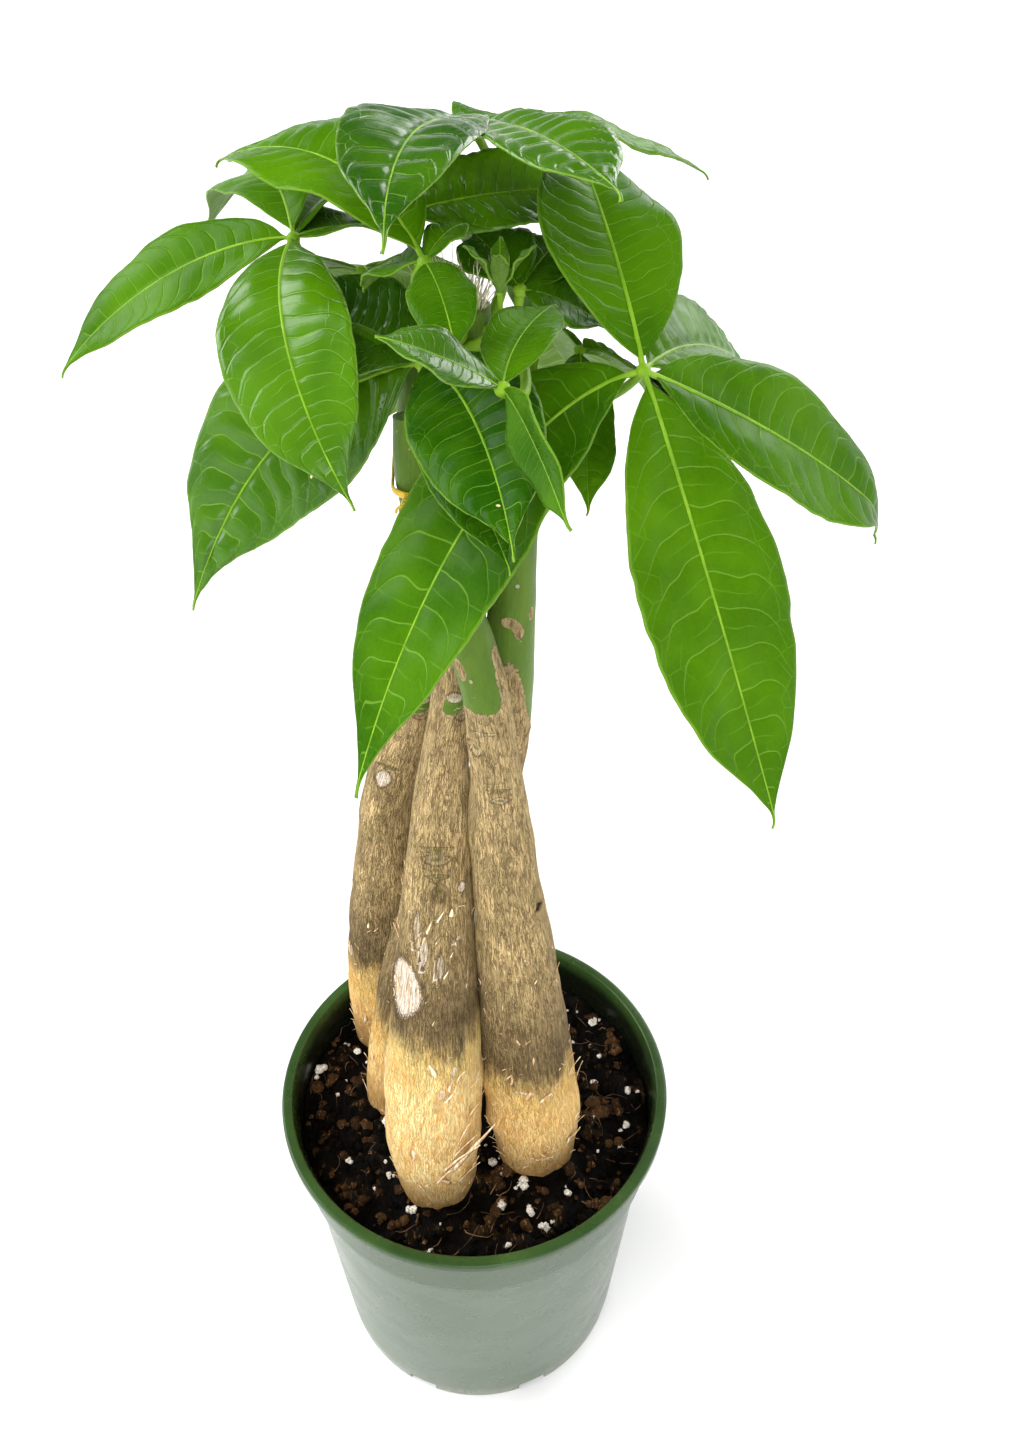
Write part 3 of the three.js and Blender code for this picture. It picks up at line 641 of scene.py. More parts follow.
def new_group(name, kind, inputs, outputs, make):
    """A node group with named sockets, each of them given as its type. make(its inputs) returns its outputs."""
    tree = bpy.data.node_groups.new(name, kind)
    for in_out, sockets in (("INPUT", inputs), ("OUTPUT", outputs)):
        for socket, socket_type in sockets.items():
            tree.interface.new_socket(socket, in_out=in_out, socket_type=socket_type)
    trees.append(tree)
    first = tree.nodes.new("NodeGroupInput")
    values = make(*(Value(first.outputs[socket]) for socket in inputs))
    last = tree.nodes.new("NodeGroupOutput")
    for socket, value in zip(last.inputs, values):
        set_socket(socket, value)
    trees.pop()
    return tree


def shared_effect(name, inputs, outputs, make):
    """A group that more than one material uses."""
    number = "NodeSocketFloat"
    return new_group(name, "ShaderNodeTree", dict.fromkeys(inputs, number), dict.fromkeys(outputs, number), make)


def use(effect, **inputs):
    return put("ShaderNodeGroup", {"node_tree": effect}, inputs).siblings()


def finish_of(name, make, **shader_values):
    """A material whose colour, roughness and normal come from make(), and the rest from shader_values."""
    material = bpy.data.materials.new(name)
    material.use_nodes = True
    trees.append(material.node_tree)
    shader = next(node for node in trees[-1].nodes if node.type == "BSDF_PRINCIPLED")
    for socket, value in {**shader_values, **make()}.items():
        set_socket(shader.inputs[socket.replace("_", " ")], value)
    trees.pop()
    return material


# ---- Effects that materials share ----


def blade_place():
    """Where a place on a blade is: how far from its side veins, in spaces between them, how far out from its midrib,
    from 0 to 1, and the place on a flat that holds the blade's two halves apart."""
    across, out, up = parts(marked("blade"))
    reach = calc("ABSOLUTE", across)
    away = calc("ABSOLUTE", out)
    side = calc("LESS_THAN", across, 0.0) * SIDES_APART
    flat = flat_place(away + side, up)
    bend = calc("POWER", calc("MAXIMUM", reach - 0.5, 0.0), 2.0)
    lean = bend * VEIN_BEND + away * VEIN_LEAN
    level = up + side - lean + (noise_at(flat, 0.45, 2) - 0.5)
    return calc("PINGPONG", level, 0.5), reach, flat


def make_leaf_veins(width):
    """Side veins, with a lesser one between each two and a net that joins them near the margin, then how far a place
    is from a side vein, the finest net and the margin."""
    main, reach, flat = blade_place()
    main_line = span(main, 0.012, width, 1, 0) * span(reach, 0.6, 1, 1, 0.35)
    lesser_line = span(0.5 - main, 0.005, 0.03, 0.45, 0) * span(reach, 0.3, 0.6, 1, 0)
    net_line = span(cell_edge(flat, 1.25, 0.8), 0.008, 0.035, 0.4, 0) * span(reach, 0.5, 0.8)
    vein = calc("MAXIMUM", main_line, calc("MAXIMUM", lesser_line, net_line))
    out, up = parts(marked("blade"))[1:]
    fine = span(cell_edge(flat_place(out, up), 5.5, 0.9), 0.02, 0.09, 1, 0)
    return vein, main, fine, span(reach, 0.955, 1.0)


def make_mottle(scale):
    return (span(noise_at(place(), scale, 4, 0.55), 0.3, 0.7),)


def make_specks(scale, rarity):
    cells = put("ShaderNodeTexVoronoi", {"feature": "F1"}, {"Vector": place(), "Scale": scale}, output="Distance")
    drawn = parts(cells.siblings()[1])[0]
    return (span(cells, 0.07, 0.15, 1, 0) * calc("GREATER_THAN", drawn, rarity),)


leaf_veins = shared_effect("leaf_veins", ["Width"], ["Vein", "Edge", "Fine", "Margin"], make_leaf_veins)
mottle = shared_effect("mottle", ["Scale"], ["Mask"], make_mottle)
specks = shared_effect("specks", ["Scale", "Rarity"], ["Mask"], make_specks)


# ---- Finishes: their colours are in linear light ----


def leaf_finish(name, deep, bright, vein_colour, rim, vein_width, rough, specular):
    def make():
        vein, away, fine, margin = use(leaf_veins, Width=vein_width)
        # The leaflet's tone: partly its own green, partly painted light and shade.
        shade = parts(marked("growth"))[1]
        blotches = use(mottle, Scale=38.0)[0]
        colour = mixed(calc("MULTIPLY_ADD", blotches, 0.45, shade * 0.45 + 0.15, clamp=True), deep, bright)
        colour = mixed(vein * 0.46 + fine * 0.05, colour, vein_colour)
        colour = mixed(margin * 0.6, colour, rim)
        colour = mixed(use(specks, Scale=230.0, Rarity=0.982)[0], colour, LEAF_SPECK)
        skin = noise_at(place(), 1400, 2)
        height = span(away, 0.0, 0.12) * 0.45 + skin * 0.1 - vein * 0.35
        gloss = span(noise_at(place(), 90, 3), 0.3, 0.7, rough - 0.03, rough + 0.08)
        return {"Base_Color": colour, "Roughness": gloss, "Normal": bump(height, LEAF_RELIEF, 0.8)}

    return finish_of(name, make, Specular_IOR_Level=specular)


LEAF_SPECK = (0.75, 0.7, 0.35)
LEAF_RELIEF = 0.00028  # metres
# Deep green, bright green, veins, margin, then how wide the veins are and how rough and how glossy the blade is.
UPPER_GREENS = ((0.012, 0.065, 0.0006), (0.08, 0.215, 0.0012), (0.17, 0.34, 0.03), (0.18, 0.33, 0.03))
UNDER_GREENS = ((0.1, 0.2, 0.02), (0.14, 0.26, 0.035), (0.26, 0.4, 0.11), (0.24, 0.4, 0.08))
FRESH_GREENS = ((0.04, 0.13, 0.001), (0.1, 0.25, 0.003), (0.22, 0.42, 0.06), (0.25, 0.42, 0.06))
leaf_upper = leaf_finish("leaf_upper", *UPPER_GREENS, 0.033, 0.27, 0.06)
leaf_glossy = leaf_finish("leaf_glossy", *UPPER_GREENS, 0.033, 0.19, 0.35)
leaf_under = leaf_finish("leaf_under", *UNDER_GREENS, 0.08, 0.5, 0.2)
leaf_fresh = leaf_finish("leaf_fresh", *FRESH_GREENS, 0.036, 0.3, 0.1)


def make_stalk_green():
    colour = mixed(use(mottle, Scale=140.0)[0], (0.13, 0.28, 0.008), (0.22, 0.4, 0.018))
    fibres = noise_at(place(), 1600, 3)
    return {"Base_Color": colour, "Roughness": span(fibres, 0.3, 0.7, 0.36, 0.5), "Normal": bump(fibres, 0.0001)}


stalk_green = finish_of("stalk_green", make_stalk_green, Specular_IOR_Level=0.2)


def trunk_noise(stretch, scale, *details):
    """Noise that runs along a stem, drawn out as far as stretch is below 1."""
    return noise_at(scaled(marked("trunk"), (1, 1, stretch)), scale, *details)


def bark_cracks():
    lines = []
    for stretch, scale, wide in ((0.12, 0.75, 0.045), (0.2, 1.5, 0.035)):
        level = trunk_noise(stretch, scale, 3, 0.55, 0.4)
        lines.append(span(calc("ABSOLUTE", level - 0.5), 0.006, wide, 1, 0))
    return calc("MAXIMUM", *lines) * span(trunk_noise(0.4, 0.5, 3, 0.6), 0.35, 0.6, 0.3, 1)


def brown_bark(streaks, wandering, cracks, gritty, height, pale):
    """Bark with dark grain and cracks, greyer up the stem and sooty just above the pale foot."""
    bark = mixed(span(streaks, 0.28, 0.7), (0.37, 0.25, 0.1), (0.79, 0.585, 0.28))
    bark = mixed(span(wandering, 0.4, 0.62, 0, 0.5), bark, (0.22, 0.17, 0.065))
    bark = mixed(span(height, 280, 350, 0, 0.45), bark, (0.6, 0.44, 0.22))
    bark = mixed(span(gritty, 0.5, 0.7, 0, 0.5), bark, (0.17, 0.11, 0.045))
    bark = mixed(cracks * 0.7, bark, (0.14, 0.085, 0.034))
    soot = span(pale, -0.1, 0.7) * span(wandering, 0.3, 0.7, 1, 0.7)
    return mixed(soot * 0.85, bark, (0.07, 0.042, 0.017))


def pale_foot(streaks, wandering, cracks, height, pale, warm):
    """Bare, straw-coloured wood, greenish at its upper edge, orange in places and stained by the soil."""
    foot = mixed(span(streaks, 0.34, 0.6), (0.9, 0.5, 0.14), (1.0, 0.82, 0.4))
    foot = mixed(span(pale, 0.99, 0.82, 0, 0.5), foot, (0.6, 0.48, 0.13))
    foot = mixed(span(wandering, 0.45, 0.7, 0, 0.5), foot, (0.7, 0.36, 0.1))
    foot = mixed(warm * span(streaks, 0.3, 0.6, 1, 0.6), foot, (0.9, 0.46, 0.11))
    foot = mixed(cracks * 0.2, foot, (0.5, 0.25, 0.07))
    return mixed(span(height, 156, 132, 0, 0.75), foot, (0.42, 0.22, 0.07))


def with_rind(bark, living, streaks, wandering):
    """The bark, covered with young green rind where living is above 0, and papery round its edge."""
    rind = mixed(wandering, (0.06, 0.135, 0.008), (0.13, 0.22, 0.02))
    rind = mixed(use(specks, Scale=260.0, Rarity=0.85)[0], rind, (0.5, 0.44, 0.22))
    papery = mixed(streaks, (0.42, 0.28, 0.13), (0.72, 0.55, 0.32))
    colour = mixed(span(living, -0.2, -0.08), bark, papery)
    colour = mixed(span(living, 0.0, 0.03), colour, rind)
    lip = span(living, -0.02, 0.0) * span(living, 0.0, 0.015, 1, 0)
    return mixed(lip * 0.7, colour, (0.16, 0.075, 0.03))


def with_scars(colour, streaks, gritty, on_foot):
    """The bark with its scars: worn pale or dark inside, with a greenish pith and a dark rim."""
    aside, up, bared = parts(marked("scar"))
    lens = flat_place(aside, up * (aside * aside * 0.5 + 1.0))
    reach = put("ShaderNodeVectorMath", {"operation": "LENGTH"}, {0: lens}, output="Value")
    distance = gritty * 0.9 + (reach - 0.45)
    inside = span(distance, 0.8, 0.95, 1, 0)
    worn = mixed(span(streaks, 0.35, 0.6), (0.55, 0.36, 0.18), (0.95, 0.86, 0.73))
    colour = mixed(inside * calc("MAXIMUM", bared, 0.0), colour, worn)
    colour = mixed(inside * calc("MAXIMUM", bared * -1.0, 0.0), colour, (0.03, 0.015, 0.008))
    pith = span(distance, 0.2, 0.5, 0.8, 0) * span(bared, 0.2, 0.5, 1, 0)
    colour = mixed(pith, colour, (0.16, 0.16, 0.035))
    rim = span(distance, 0.75, 0.95) * span(distance, 1.0, 1.25, 1, 0)
    return mixed(rim * 0.6, colour, mixed(on_foot, (0.075, 0.04, 0.016), (0.6, 0.33, 0.12)))


def make_bark():
    """Bark by a stem's marks: trunk is the place on the stem drawn round, in millimetres, tone is (pale foot,
    green, orange foot), each from 0 to 1, and scar is what scar_at gives."""
    pale, green, warm = parts(marked("tone"))
    height = parts(marked("trunk"))[2]
    wandering = trunk_noise(0.5, 0.13, 3)
    streaks = trunk_noise(0.12, 1.4, 6, 0.62, 0.6)
    gritty = trunk_noise(0.6, 2.6, 5, 0.7)
    cracks = bark_cracks()
    living = green - trunk_noise(0.7, 0.32, 6, 0.65, 1.2) * 0.9
    on_foot = span((streaks + wandering) * 0.25 + pale, 0.88, 1.1)

    bark = brown_bark(streaks, wandering, cracks, gritty, height, pale)
    colour = mixed(on_foot, bark, pale_foot(streaks, wandering, cracks, height, pale, warm))
    colour = with_scars(with_rind(colour, living, streaks, wandering), streaks, gritty, on_foot)
    smoothness = span(living, 0.0, 0.04)
    relief = (cracks * -0.8 + streaks) * (smoothness * -0.9 + 1.0)
    return {"Base_Color": colour, "Roughness": smoothness * -0.42 + 0.86, "Normal": bump(relief, 0.001)}


bark = finish_of("bark", make_bark, Specular_IOR_Level=0.2)


def pot_skin(colour):
    """The colour, gloss and relief that the whole pot shares: scuffs, a little unevenness and a fine skin."""
    scuffed = noise_at(scaled(place(), (1, 1, 2)), 30, 6, 0.65)
    colour = mixed(span(scuffed, 0.6, 0.78, 0, 0.04), colour, (0.4, 0.46, 0.38))
    waves = noise_at(place(), 22, 2) * 0.6 + noise_at(place(), 700, 2) * 0.06
    gloss = span(scuffed, 0.35, 0.7, 0.24, 0.32)
    return {"Base_Color": colour, "Roughness": gloss, "Normal": bump(waves, 0.0005, 0.25)}


def make_pot_wall():
    """Grey-green, lighter where the plastic flowed, darker at the band's lower edge and dusty at the foot."""
    height = parts(place())[2]
    wall = mixed(use(mottle, Scale=14.0)[0], (0.044, 0.074, 0.034), (0.058, 0.09, 0.048))
    flow = noise_at(scaled(place(), (1, 1, 3)), 11, 4)
    wall = mixed(span(flow, 0.4, 0.7, 0, 0.5), wall, (0.074, 0.106, 0.062))
    wall = mixed(span(height, STEP_HEIGHT * MM, (BAND_BOTTOM + 0.5) * MM, 0, 0.35), wall, (0.034, 0.058, 0.026))
    dust = span(height, 0.012, 0.0, 0, 0.5) * noise_at(place(), 60, 4, 0.7)
    return pot_skin(mixed(dust, wall, (0.4, 0.38, 0.3)))


def make_pot_lip():
    """Dark green on the lip and inside, with painted shade that turns the inside near-black further down, from just
    below the rim.
    """
    green = mixed(use(mottle, Scale=50.0)[0], (0.022, 0.052, 0.012), (0.035, 0.075, 0.018))
    # Painted shade: the inside of the pot darkens to near-black from just below the rim downwards.
    painted_inside_shade = span(parts(place())[2], (POT_HEIGHT - 1) * MM, (POT_HEIGHT - 6.5) * MM, 0, 0.95)
    return pot_skin(mixed(painted_inside_shade, green, (0.004, 0.005, 0.003)))


pot_wall = finish_of("pot_wall", make_pot_wall, Specular_IOR_Level=0.5)
pot_lip = finish_of("pot_lip", make_pot_lip, Specular_IOR_Level=0.3)


def make_peat():
    """Painted shade, near-black, in the hollows, and painted light, brown with threads, on what stands up. The ground
    mark is (height, brown, 0): its height paints the light and shade, and brown is a grain's own colour.
    """
    lumps = noise_at(place(), 260, 6, 0.68)
    painted_relief_light, brown = parts(marked("ground"))[:2]
    # Painted light and shade: the higher a place stands, the lighter and browner it is painted.
    lit = lumps * 0.9 + (painted_relief_light + brown)
    colour = mixed(span(lit, 0.6, 1.3), (0.0015, 0.001, 0.0006), (0.07, 0.034, 0.012))
    threads = noise_at(scaled(place(), (1, 0.25, 1)), 650, 4, 0.6, 1.5)
    colour = mixed(span(threads, 0.56, 0.66) * span(lit, 0.5, 0.9, 0, 0.8), colour, (0.24, 0.13, 0.055))
    return {"Base_Color": colour, "Roughness": span(lumps, 0.3, 0.7, 0.6, 0.95), "Normal": bump(threads, 0.0009)}


def plain_finish(name, stretch, grain, shades, dark, light, relief, rough):
    """A finish from dark to light by noise. stretch, grain and shades give its form, scale and contrast."""
    def make():
        shade = noise_at(scaled(place(), (1, 1, stretch)), *grain)
        return {"Base_Color": mixed(span(shade, *shades), dark, light), "Normal": bump(shade, relief)}

    return finish_of(name, make, Roughness=rough)


def make_tie_yellow():
    worn = use(mottle, Scale=300.0)[0]
    colour = mixed(worn, (0.5, 0.33, 0.01), (0.7, 0.48, 0.02))
    return {"Base_Color": colour, "Roughness": span(worn, 0.0, 1.0, 0.3, 0.42)}


peat = finish_of("peat", make_peat, Specular_IOR_Level=0.12)
tie_yellow = finish_of("tie_yellow", make_tie_yellow)
perlite = plain_finish("perlite", 1, (1300, 4, 0.6), (0.35, 0.6), (0.45, 0.38, 0.28), (0.88, 0.85, 0.78), 0.0004, 0.8)
straw = plain_finish("straw", 1, (500, 3), (0.35, 0.65), (0.52, 0.4, 0.22), (0.9, 0.84, 0.66), 0.0002, 0.7)
sliver_wood = plain_finish(
    "sliver_wood", 0.2, (700, 3), (0.35, 0.65), (0.62, 0.34, 0.13), (1.0, 0.84, 0.58), 0.0002, 0.75
)
coir = plain_finish("coir", 1, (120, 3), (0.35, 0.65), (0.05, 0.022, 0.009), (0.22, 0.12, 0.055), 0.0002, 0.8)


# ---- Stems ----


def catmull_rom(points, t):
    """The place at t, from 0 to 1, on a smooth line through the points, eased by their distances."""
    last = len(points) - 1
    lower = min(int(t * last), last - 1)
    share = t * last - lower
    b, c = points[lower], points[lower + 1]
    a = points[lower - 1] if lower > 0 else b * 2 - c
    d = points[lower + 2] if lower + 2 <= last else c * 2 - b
    before, between, after = (math.sqrt((q - p).length) for p, q in ((a, b), (b, c), (c, d)))
    leave = (b - a) / before - (c - a) / (before + between) + (c - b) / between
    arrive = (c - b) / between - (d - b) / (between + after) + (d - c) / after
    leave, arrive = leave * between, arrive * between
    cubic = (b - c) * 2 + leave + arrive
    square = (c - b) * 3 - leave * 2 - arrive
    return b + leave * share + square * share**2 + cubic * share**3


@lru_cache(maxsize=None)
def stem_stations(name, steps):
    points = STEMS[name]
    places = [Vector(point[:3]) for point in points]
    stations = []
    for t in shares(steps):
        lower = min(int(t * (len(points) - 1)), len(points) - 2)
        share = t * (len(points) - 1) - lower
        stations.append((catmull_rom(places, t), lerp(points[lower][3], points[lower + 1][3], share)))
    return stations


@lru_cache(maxsize=None)
def stem_at(name, height):
    """The middle and the radius of a stem at a height, in millimetres; above its top, those of its top."""
    stations = stem_stations(name, 2 * (len(STEMS[name]) - 1))
    for (low, low_radius), (high, high_radius) in zip(stations, stations[1:]):
        if high.z >= height:
            share = (height - low.z) / (high.z - low.z)
            return low.lerp(high, share), lerp(low_radius, high_radius, share)
    return stations[-1]


def on_mark(name, height, turn, mark):
    """How far aside and up a place on a stem is from a mark's middle, in halves of its size."""
    mark_height, mark_turn, width, tall = mark[:4]
    away = (turn - mark_turn + 180) % 360 - 180
    return math.radians(away) * stem_at(name, mark_height)[1] / (width / 2), (height - mark_height) / (tall / 2)


def green_at(name, height, turn):
    """How green a stem's rind is at a place, from 0 for bark to 1."""
    tones = STEM_TONES[name]
    green = smooth(tones["green_from"] - tones["fade"], tones["green_from"] + tones["fade"], height)
    for patch in PATCHES[name]:
        green += patch[4] * (1 - smooth(*PATCH_EDGE, math.hypot(*on_mark(name, height, turn, patch))))
    return min(max(green, 0), 1)


def scar_at(name, height, turn):
    """How far the bark stands in at a place, and where that is on the nearest scar: (aside, up, how pale it is)."""
    depth = 0
    nearest = (9, 9, 0)
    for scar in SCARS[name]:
        inward, pale = scar[4:]
        aside, upward = on_mark(name, height, turn, scar)
        distance = math.hypot(aside, upward)
        if distance < math.hypot(*nearest[:2]):
            nearest = (aside, upward, pale)
        depth += inward * (1 - smooth(*SCAR_EDGE, distance))
        depth -= SCAR_LIP * abs(inward) * math.exp(-(((distance - SCAR_EDGE[1]) / SCAR_LIP_WIDTH) ** 2))
    return depth, nearest


def crowding(name, at, radius, out):
    """How far a stem bulges at a place, to touch the stems that press on it."""
    bulge = 0
    for other in STEMS:
        if other == name:
            continue
        middle, breadth = stem_at(other, at.z)
        toward = Vector((middle.x - at.x, middle.y - at.y, 0))
        gap = toward.length - radius - breadth
        facing = max(out.dot(toward.normalized()), 0) ** 6
        bulge = max(bulge, (gap / 2 + 0.3) * facing * (1 - smooth(CROWDED - 3, CROWDED, gap)))
    return bulge


def bark_place(name, at, radius, out):
    """The place on the bark in a direction from a stem's middle line, and its place on the nearest scar."""
    spot = at + out * (radius * STEM_ROUND)
    depth, scar = scar_at(name, spot.z, math.degrees(math.atan2(out.y, out.x)))
    lumps = LUMPS * noise.noise(spot * 0.045)
    fine_lumps = FINE_LUMPS * noise.noise(Vector((spot.x, spot.y, spot.z * 0.3)) * 0.16)
    knuckles = KNUCKLES * noise.noise(Vector((0, at.x * 0.1, spot.z * 0.11)))
    slim = STEM_ROUND - SLIMMER * smooth(*SLIMS_BETWEEN, spot.z)
    reach = radius * slim * (1 + lumps + fine_lumps + knuckles) - depth
    return at + out * (reach + crowding(name, at, radius, out)), scar


def make_stem(name):
    height = STEMS[name][-1][2] - STEMS[name][0][2]
    stations = stem_stations(name, round(height / STEM_STEP))
    tones = STEM_TONES[name]
    marks = []
    shaped = []
    for (at, radius), row in zip(stations, rings_along(stations, STEM_SIDES)):
        placed = []
        row_marks = []
        for spot in row:
            out = (spot - at).normalized()
            moved, scar = bark_place(name, at, radius, out)
            placed.append(moved * MM)
            ragged = spot.z + RAGGED * noise.noise(spot * 0.06)
            pale = 1 - smooth(tones["pale_to"] - PALE_FADE[0], tones["pale_to"] + PALE_FADE[1], ragged)
            green = green_at(name, spot.z, math.degrees(math.atan2(out.y, out.x)))
            local = (out.x * radius, out.y * radius, spot.z)
            row_marks.append({"trunk": local, "tone": (pale, green, tones["warm"]), "scar": scar})
        shaped.append(placed)
        marks.append(row_marks)
    shape = Shape("trunk", "tone", "scar")
    shape.rings(shaped, mark=lambda row, side: marks[row][side])
    stem = shape.piece(name + "_bark", [bark])
    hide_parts(name)
    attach(stem, BODY)


# ---- Leaves ----


def outline(t):
    past = max(t - LEAFLET_STALK, 0) / (1 - LEAFLET_STALK)
    return past**OUTLINE_BASE * (1 - past) ** OUTLINE_TIP if past > 0 else 0


PEAK = OUTLINE_BASE / (OUTLINE_BASE + OUTLINE_TIP)
WIDEST = outline(LEAFLET_STALK + PEAK * (1 - LEAFLET_STALK))


# A place along a leaflet: its share t of the length, how far it is from the hub, the middle, which ways are up and
# right, and half the width.
Station = namedtuple("Station", "t distance middle up right half")


def midrib_controls(hub, leaflet):
    tip = Vector(leaflet["tip"])
    chord = tip - hub
    arch = chord.cross(UP).normalized() * leaflet.get("side", 0) + UP * leaflet["lift"]
    return hub, hub + chord * 0.3 + arch, hub + chord * 0.72 + arch * leaflet.get("late", ARCH_LATE), tip


def turned(first, second, angle):
    """Two directions, square to each other, turned so that the first goes towards the second."""
    cosine, sine = math.cos(angle), math.sin(angle)
    return first * cosine + second * sine, second * cosine - first * sine


def drip_tip(length, last):
    """Stations that lead on from a leaflet's last one, as its tip narrows and curls down and aside."""
    middle, up, right = last.middle, last.up, last.right
    along = up.cross(right)
    reach = min(DRIP_TIP * length, DRIP_TIP_MOST)
    down, aside = (math.radians(turn) / DRIP_TIP_STEPS for turn in DRIP_TIP_TURNS)
    stations = []
    for share in shares(DRIP_TIP_STEPS)[1:]:
        along, up = turned(along, up, -down)
        along, right = turned(along, right, aside)
        middle = middle + along * (reach / DRIP_TIP_STEPS)
        stations.append(Station(1, last.distance + reach * share, middle, up, right, last.half * (1 - 0.7 * share)))
    return stations


def blade_rows(hub, face, leaflet):
    """A leaflet's length and the stations along it."""
    controls = midrib_controls(hub, leaflet)
    length = sum((bezier(controls, (k + 1) / 20) - bezier(controls, k / 20)).length for k in range(20))
    normal = face
    stations = []
    for t in shares(max(round(length / BLADE_STEP), 8)):
        along = bezier_direction(controls, t)
        normal = square_to(normal, along)
        turn = math.radians(leaflet.get("roll", 0))
        up = normal * math.cos(turn) + along.cross(normal) * math.sin(turn)
        curled = max(t - CURL_START, 0) / (1 - CURL_START)
        middle = bezier(controls, t) - up * (leaflet.get("curl", 0) * curled**2)
        half = leaflet["width"] / 2 * outline(t) / WIDEST * (1 - 0.5 * smooth(0.78, 1, t))
        stations.append(Station(t, t * length, middle, up, along.cross(up), max(half, LEAST_HALF_WIDTH)))
    return length, stations + drip_tip(length, stations[-1])


def blade_point(station, across, fold, number, seed):
    """The place on a blade at a station, across from -1 at one margin to 1 at the other, with its waves."""
    t, distance, middle, up, right, half = station
    out = abs(across)
    rise = min(out * half * math.tan(math.radians(fold)) * (1 - 0.5 * out), half)
    billow = noise.noise(Vector((across * half * 0.07 + 7 * seed, distance * 0.055, seed * 20)))
    rise += BILLOW * billow * min(out * 2, 1) * min(half / 8, 1)
    wave = WAVE * across**2 * math.sin(2 * math.pi * WAVES * t + number + across) * math.sin(math.pi * t)
    ruffle = RUFFLE * out**3 * noise.noise(Vector((distance * 0.16, seed * 9, across * 0.8)))
    nick = 1 + NICKS * noise.noise(Vector((distance * 0.25, seed * 5, math.copysign(1, across))))
    return middle + right * (across * half * nick) + up * (rise + wave + ruffle)


def midrib(leaflet, stations):
    """The rib under a blade, which narrows towards its tip, as a line of (place, radius)."""
    ribs = []
    for at in stations:
        thick = lerp(*MIDRIB_RADII, math.sqrt(at.t)) * min(leaflet["width"] / MIDRIB_WIDTH, 1.1)
        thick = max(thick, MIDRIB_RADII[1])
        ribs.append((at.middle - at.up * (0.22 * thick), thick))
    return ribs


def add_leaflet(blades, stalks, rib_sides, hub, face, leaflet, number, quilt, seed):
    slot = GLOSSY if leaflet.get("glossy") else 0
    length, stations = blade_rows(hub, face, leaflet)
    half_columns = max(round(leaflet["width"] / 2 / BLADE_STEP / 1.1), 4)
    spacing = max(length / VEIN_PAIRS, 2.5)
    rows = []
    for at in stations:
        row = []
        # The growth mark: how far the blade swells, and the tone, which is partly painted light and shade.
        growth = (quilt * MM * min(at.half / 6, 1), leaflet.get("tone", TONE), 0)
        for column in range(-half_columns, half_columns + 1):
            across = column / half_columns
            spot = blade_point(at, across, leaflet.get("fold", FOLD), number, seed)
            blade = (across, across * at.half / spacing, at.distance / spacing + 40 * seed)
            row.append(blades.point(spot * MM, blade=blade, growth=growth))
        rows.append(row)
    for low, high in zip(rows, rows[1:]):
        for corners in zip(low, low[1:], high[1:], high):
            blades.face(corners, slot)
    stalks.tube(in_metres(midrib(leaflet, stations)), rib_sides, slot=STALK)


def stalk_stations(leaf, hub, face, foot, top):
    at, radius = stem_at(leaf["stem"], leaf["height"])
    out = bearing(leaf["bearing"])
    bow = Vector(leaf.get("bow", (0, 0, 0)))
    start = out * 0.8 + UP * 0.6
    begin = at + out * (radius + GAP + 0.6 * foot)
    reach = (hub - begin).length
    controls = (begin, begin + start * (0.35 * reach) + bow, hub - face * (0.3 * reach) + bow, hub)
    stations = [(at + out * (radius - 1), foot * 1.2)]
    for t in shares(STALK_STEPS):
        swell = 0.45 * math.exp(-(((t - 1) * reach / 3) ** 2)) + 0.5 * math.exp(-((t * reach / 3) ** 2))
        stations.append((bezier(controls, t), lerp(foot, top, math.sqrt(t)) * (1 + swell * 0.5)))
    return stations


def in_metres(stations):
    return [(at * MM, radius * MM) for at, radius in stations]


def make_quilting(geometry):
    """The modifier that swells a blade between its veins, by its growth mark's first number."""
    main, reach = blade_place()[:2]
    pillow = span(main, 0.0, 0.4) * span(reach, 0.75, 1.0, 1, 0.3) * span(reach, 0.03, 0.16)
    height = pillow * parts(marked("growth"))[0]
    normal = put("GeometryNodeInputNormal", {}, {})
    away = put("ShaderNodeVectorMath", {"operation": "SCALE"}, {0: normal, "Scale": height})
    return (put("GeometryNodeSetPosition", {}, {"Geometry": geometry, "Offset": away}),)


geometry_socket = {"Geometry": "NodeSocketGeometry"}
quilting = new_group("quilting", "GeometryNodeTree", geometry_socket, geometry_socket, make_quilting)


def finished_leaf(name, blades, stalks, node, upper):
    materials = [upper, leaf_under, leaf_glossy, leaf_under, stalk_green]
    piece = blades.piece(name, materials)
    piece.modifiers.new("quilting", "NODES").node_group = quilting
    thickness = piece.modifiers.new("thickness", "SOLIDIFY")
    thickness.thickness = LEAF_THICKNESS * MM
    thickness.offset = -1
    thickness.material_offset = 1
    settle(piece)
    join(piece, stalks.piece(name + "_ribs", materials))
    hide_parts(node)
    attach(piece, BODY)


def add_hub(stalks, hub, face, radius):
    """The knob that a leaf's leaflets grow from, by (height, radius) in the radius of the knob."""
    stations = [(-1.0, 0.3), (-0.7, 0.75), (-0.2, 1.0), (0.35, 0.9), (0.65, 0.5), (0.72, 0.15)]
    knob = [(hub + face * (height * radius), share * radius) for height, share in stations]
    stalks.tube(in_metres(knob), STALK_SIDES, slot=STALK)


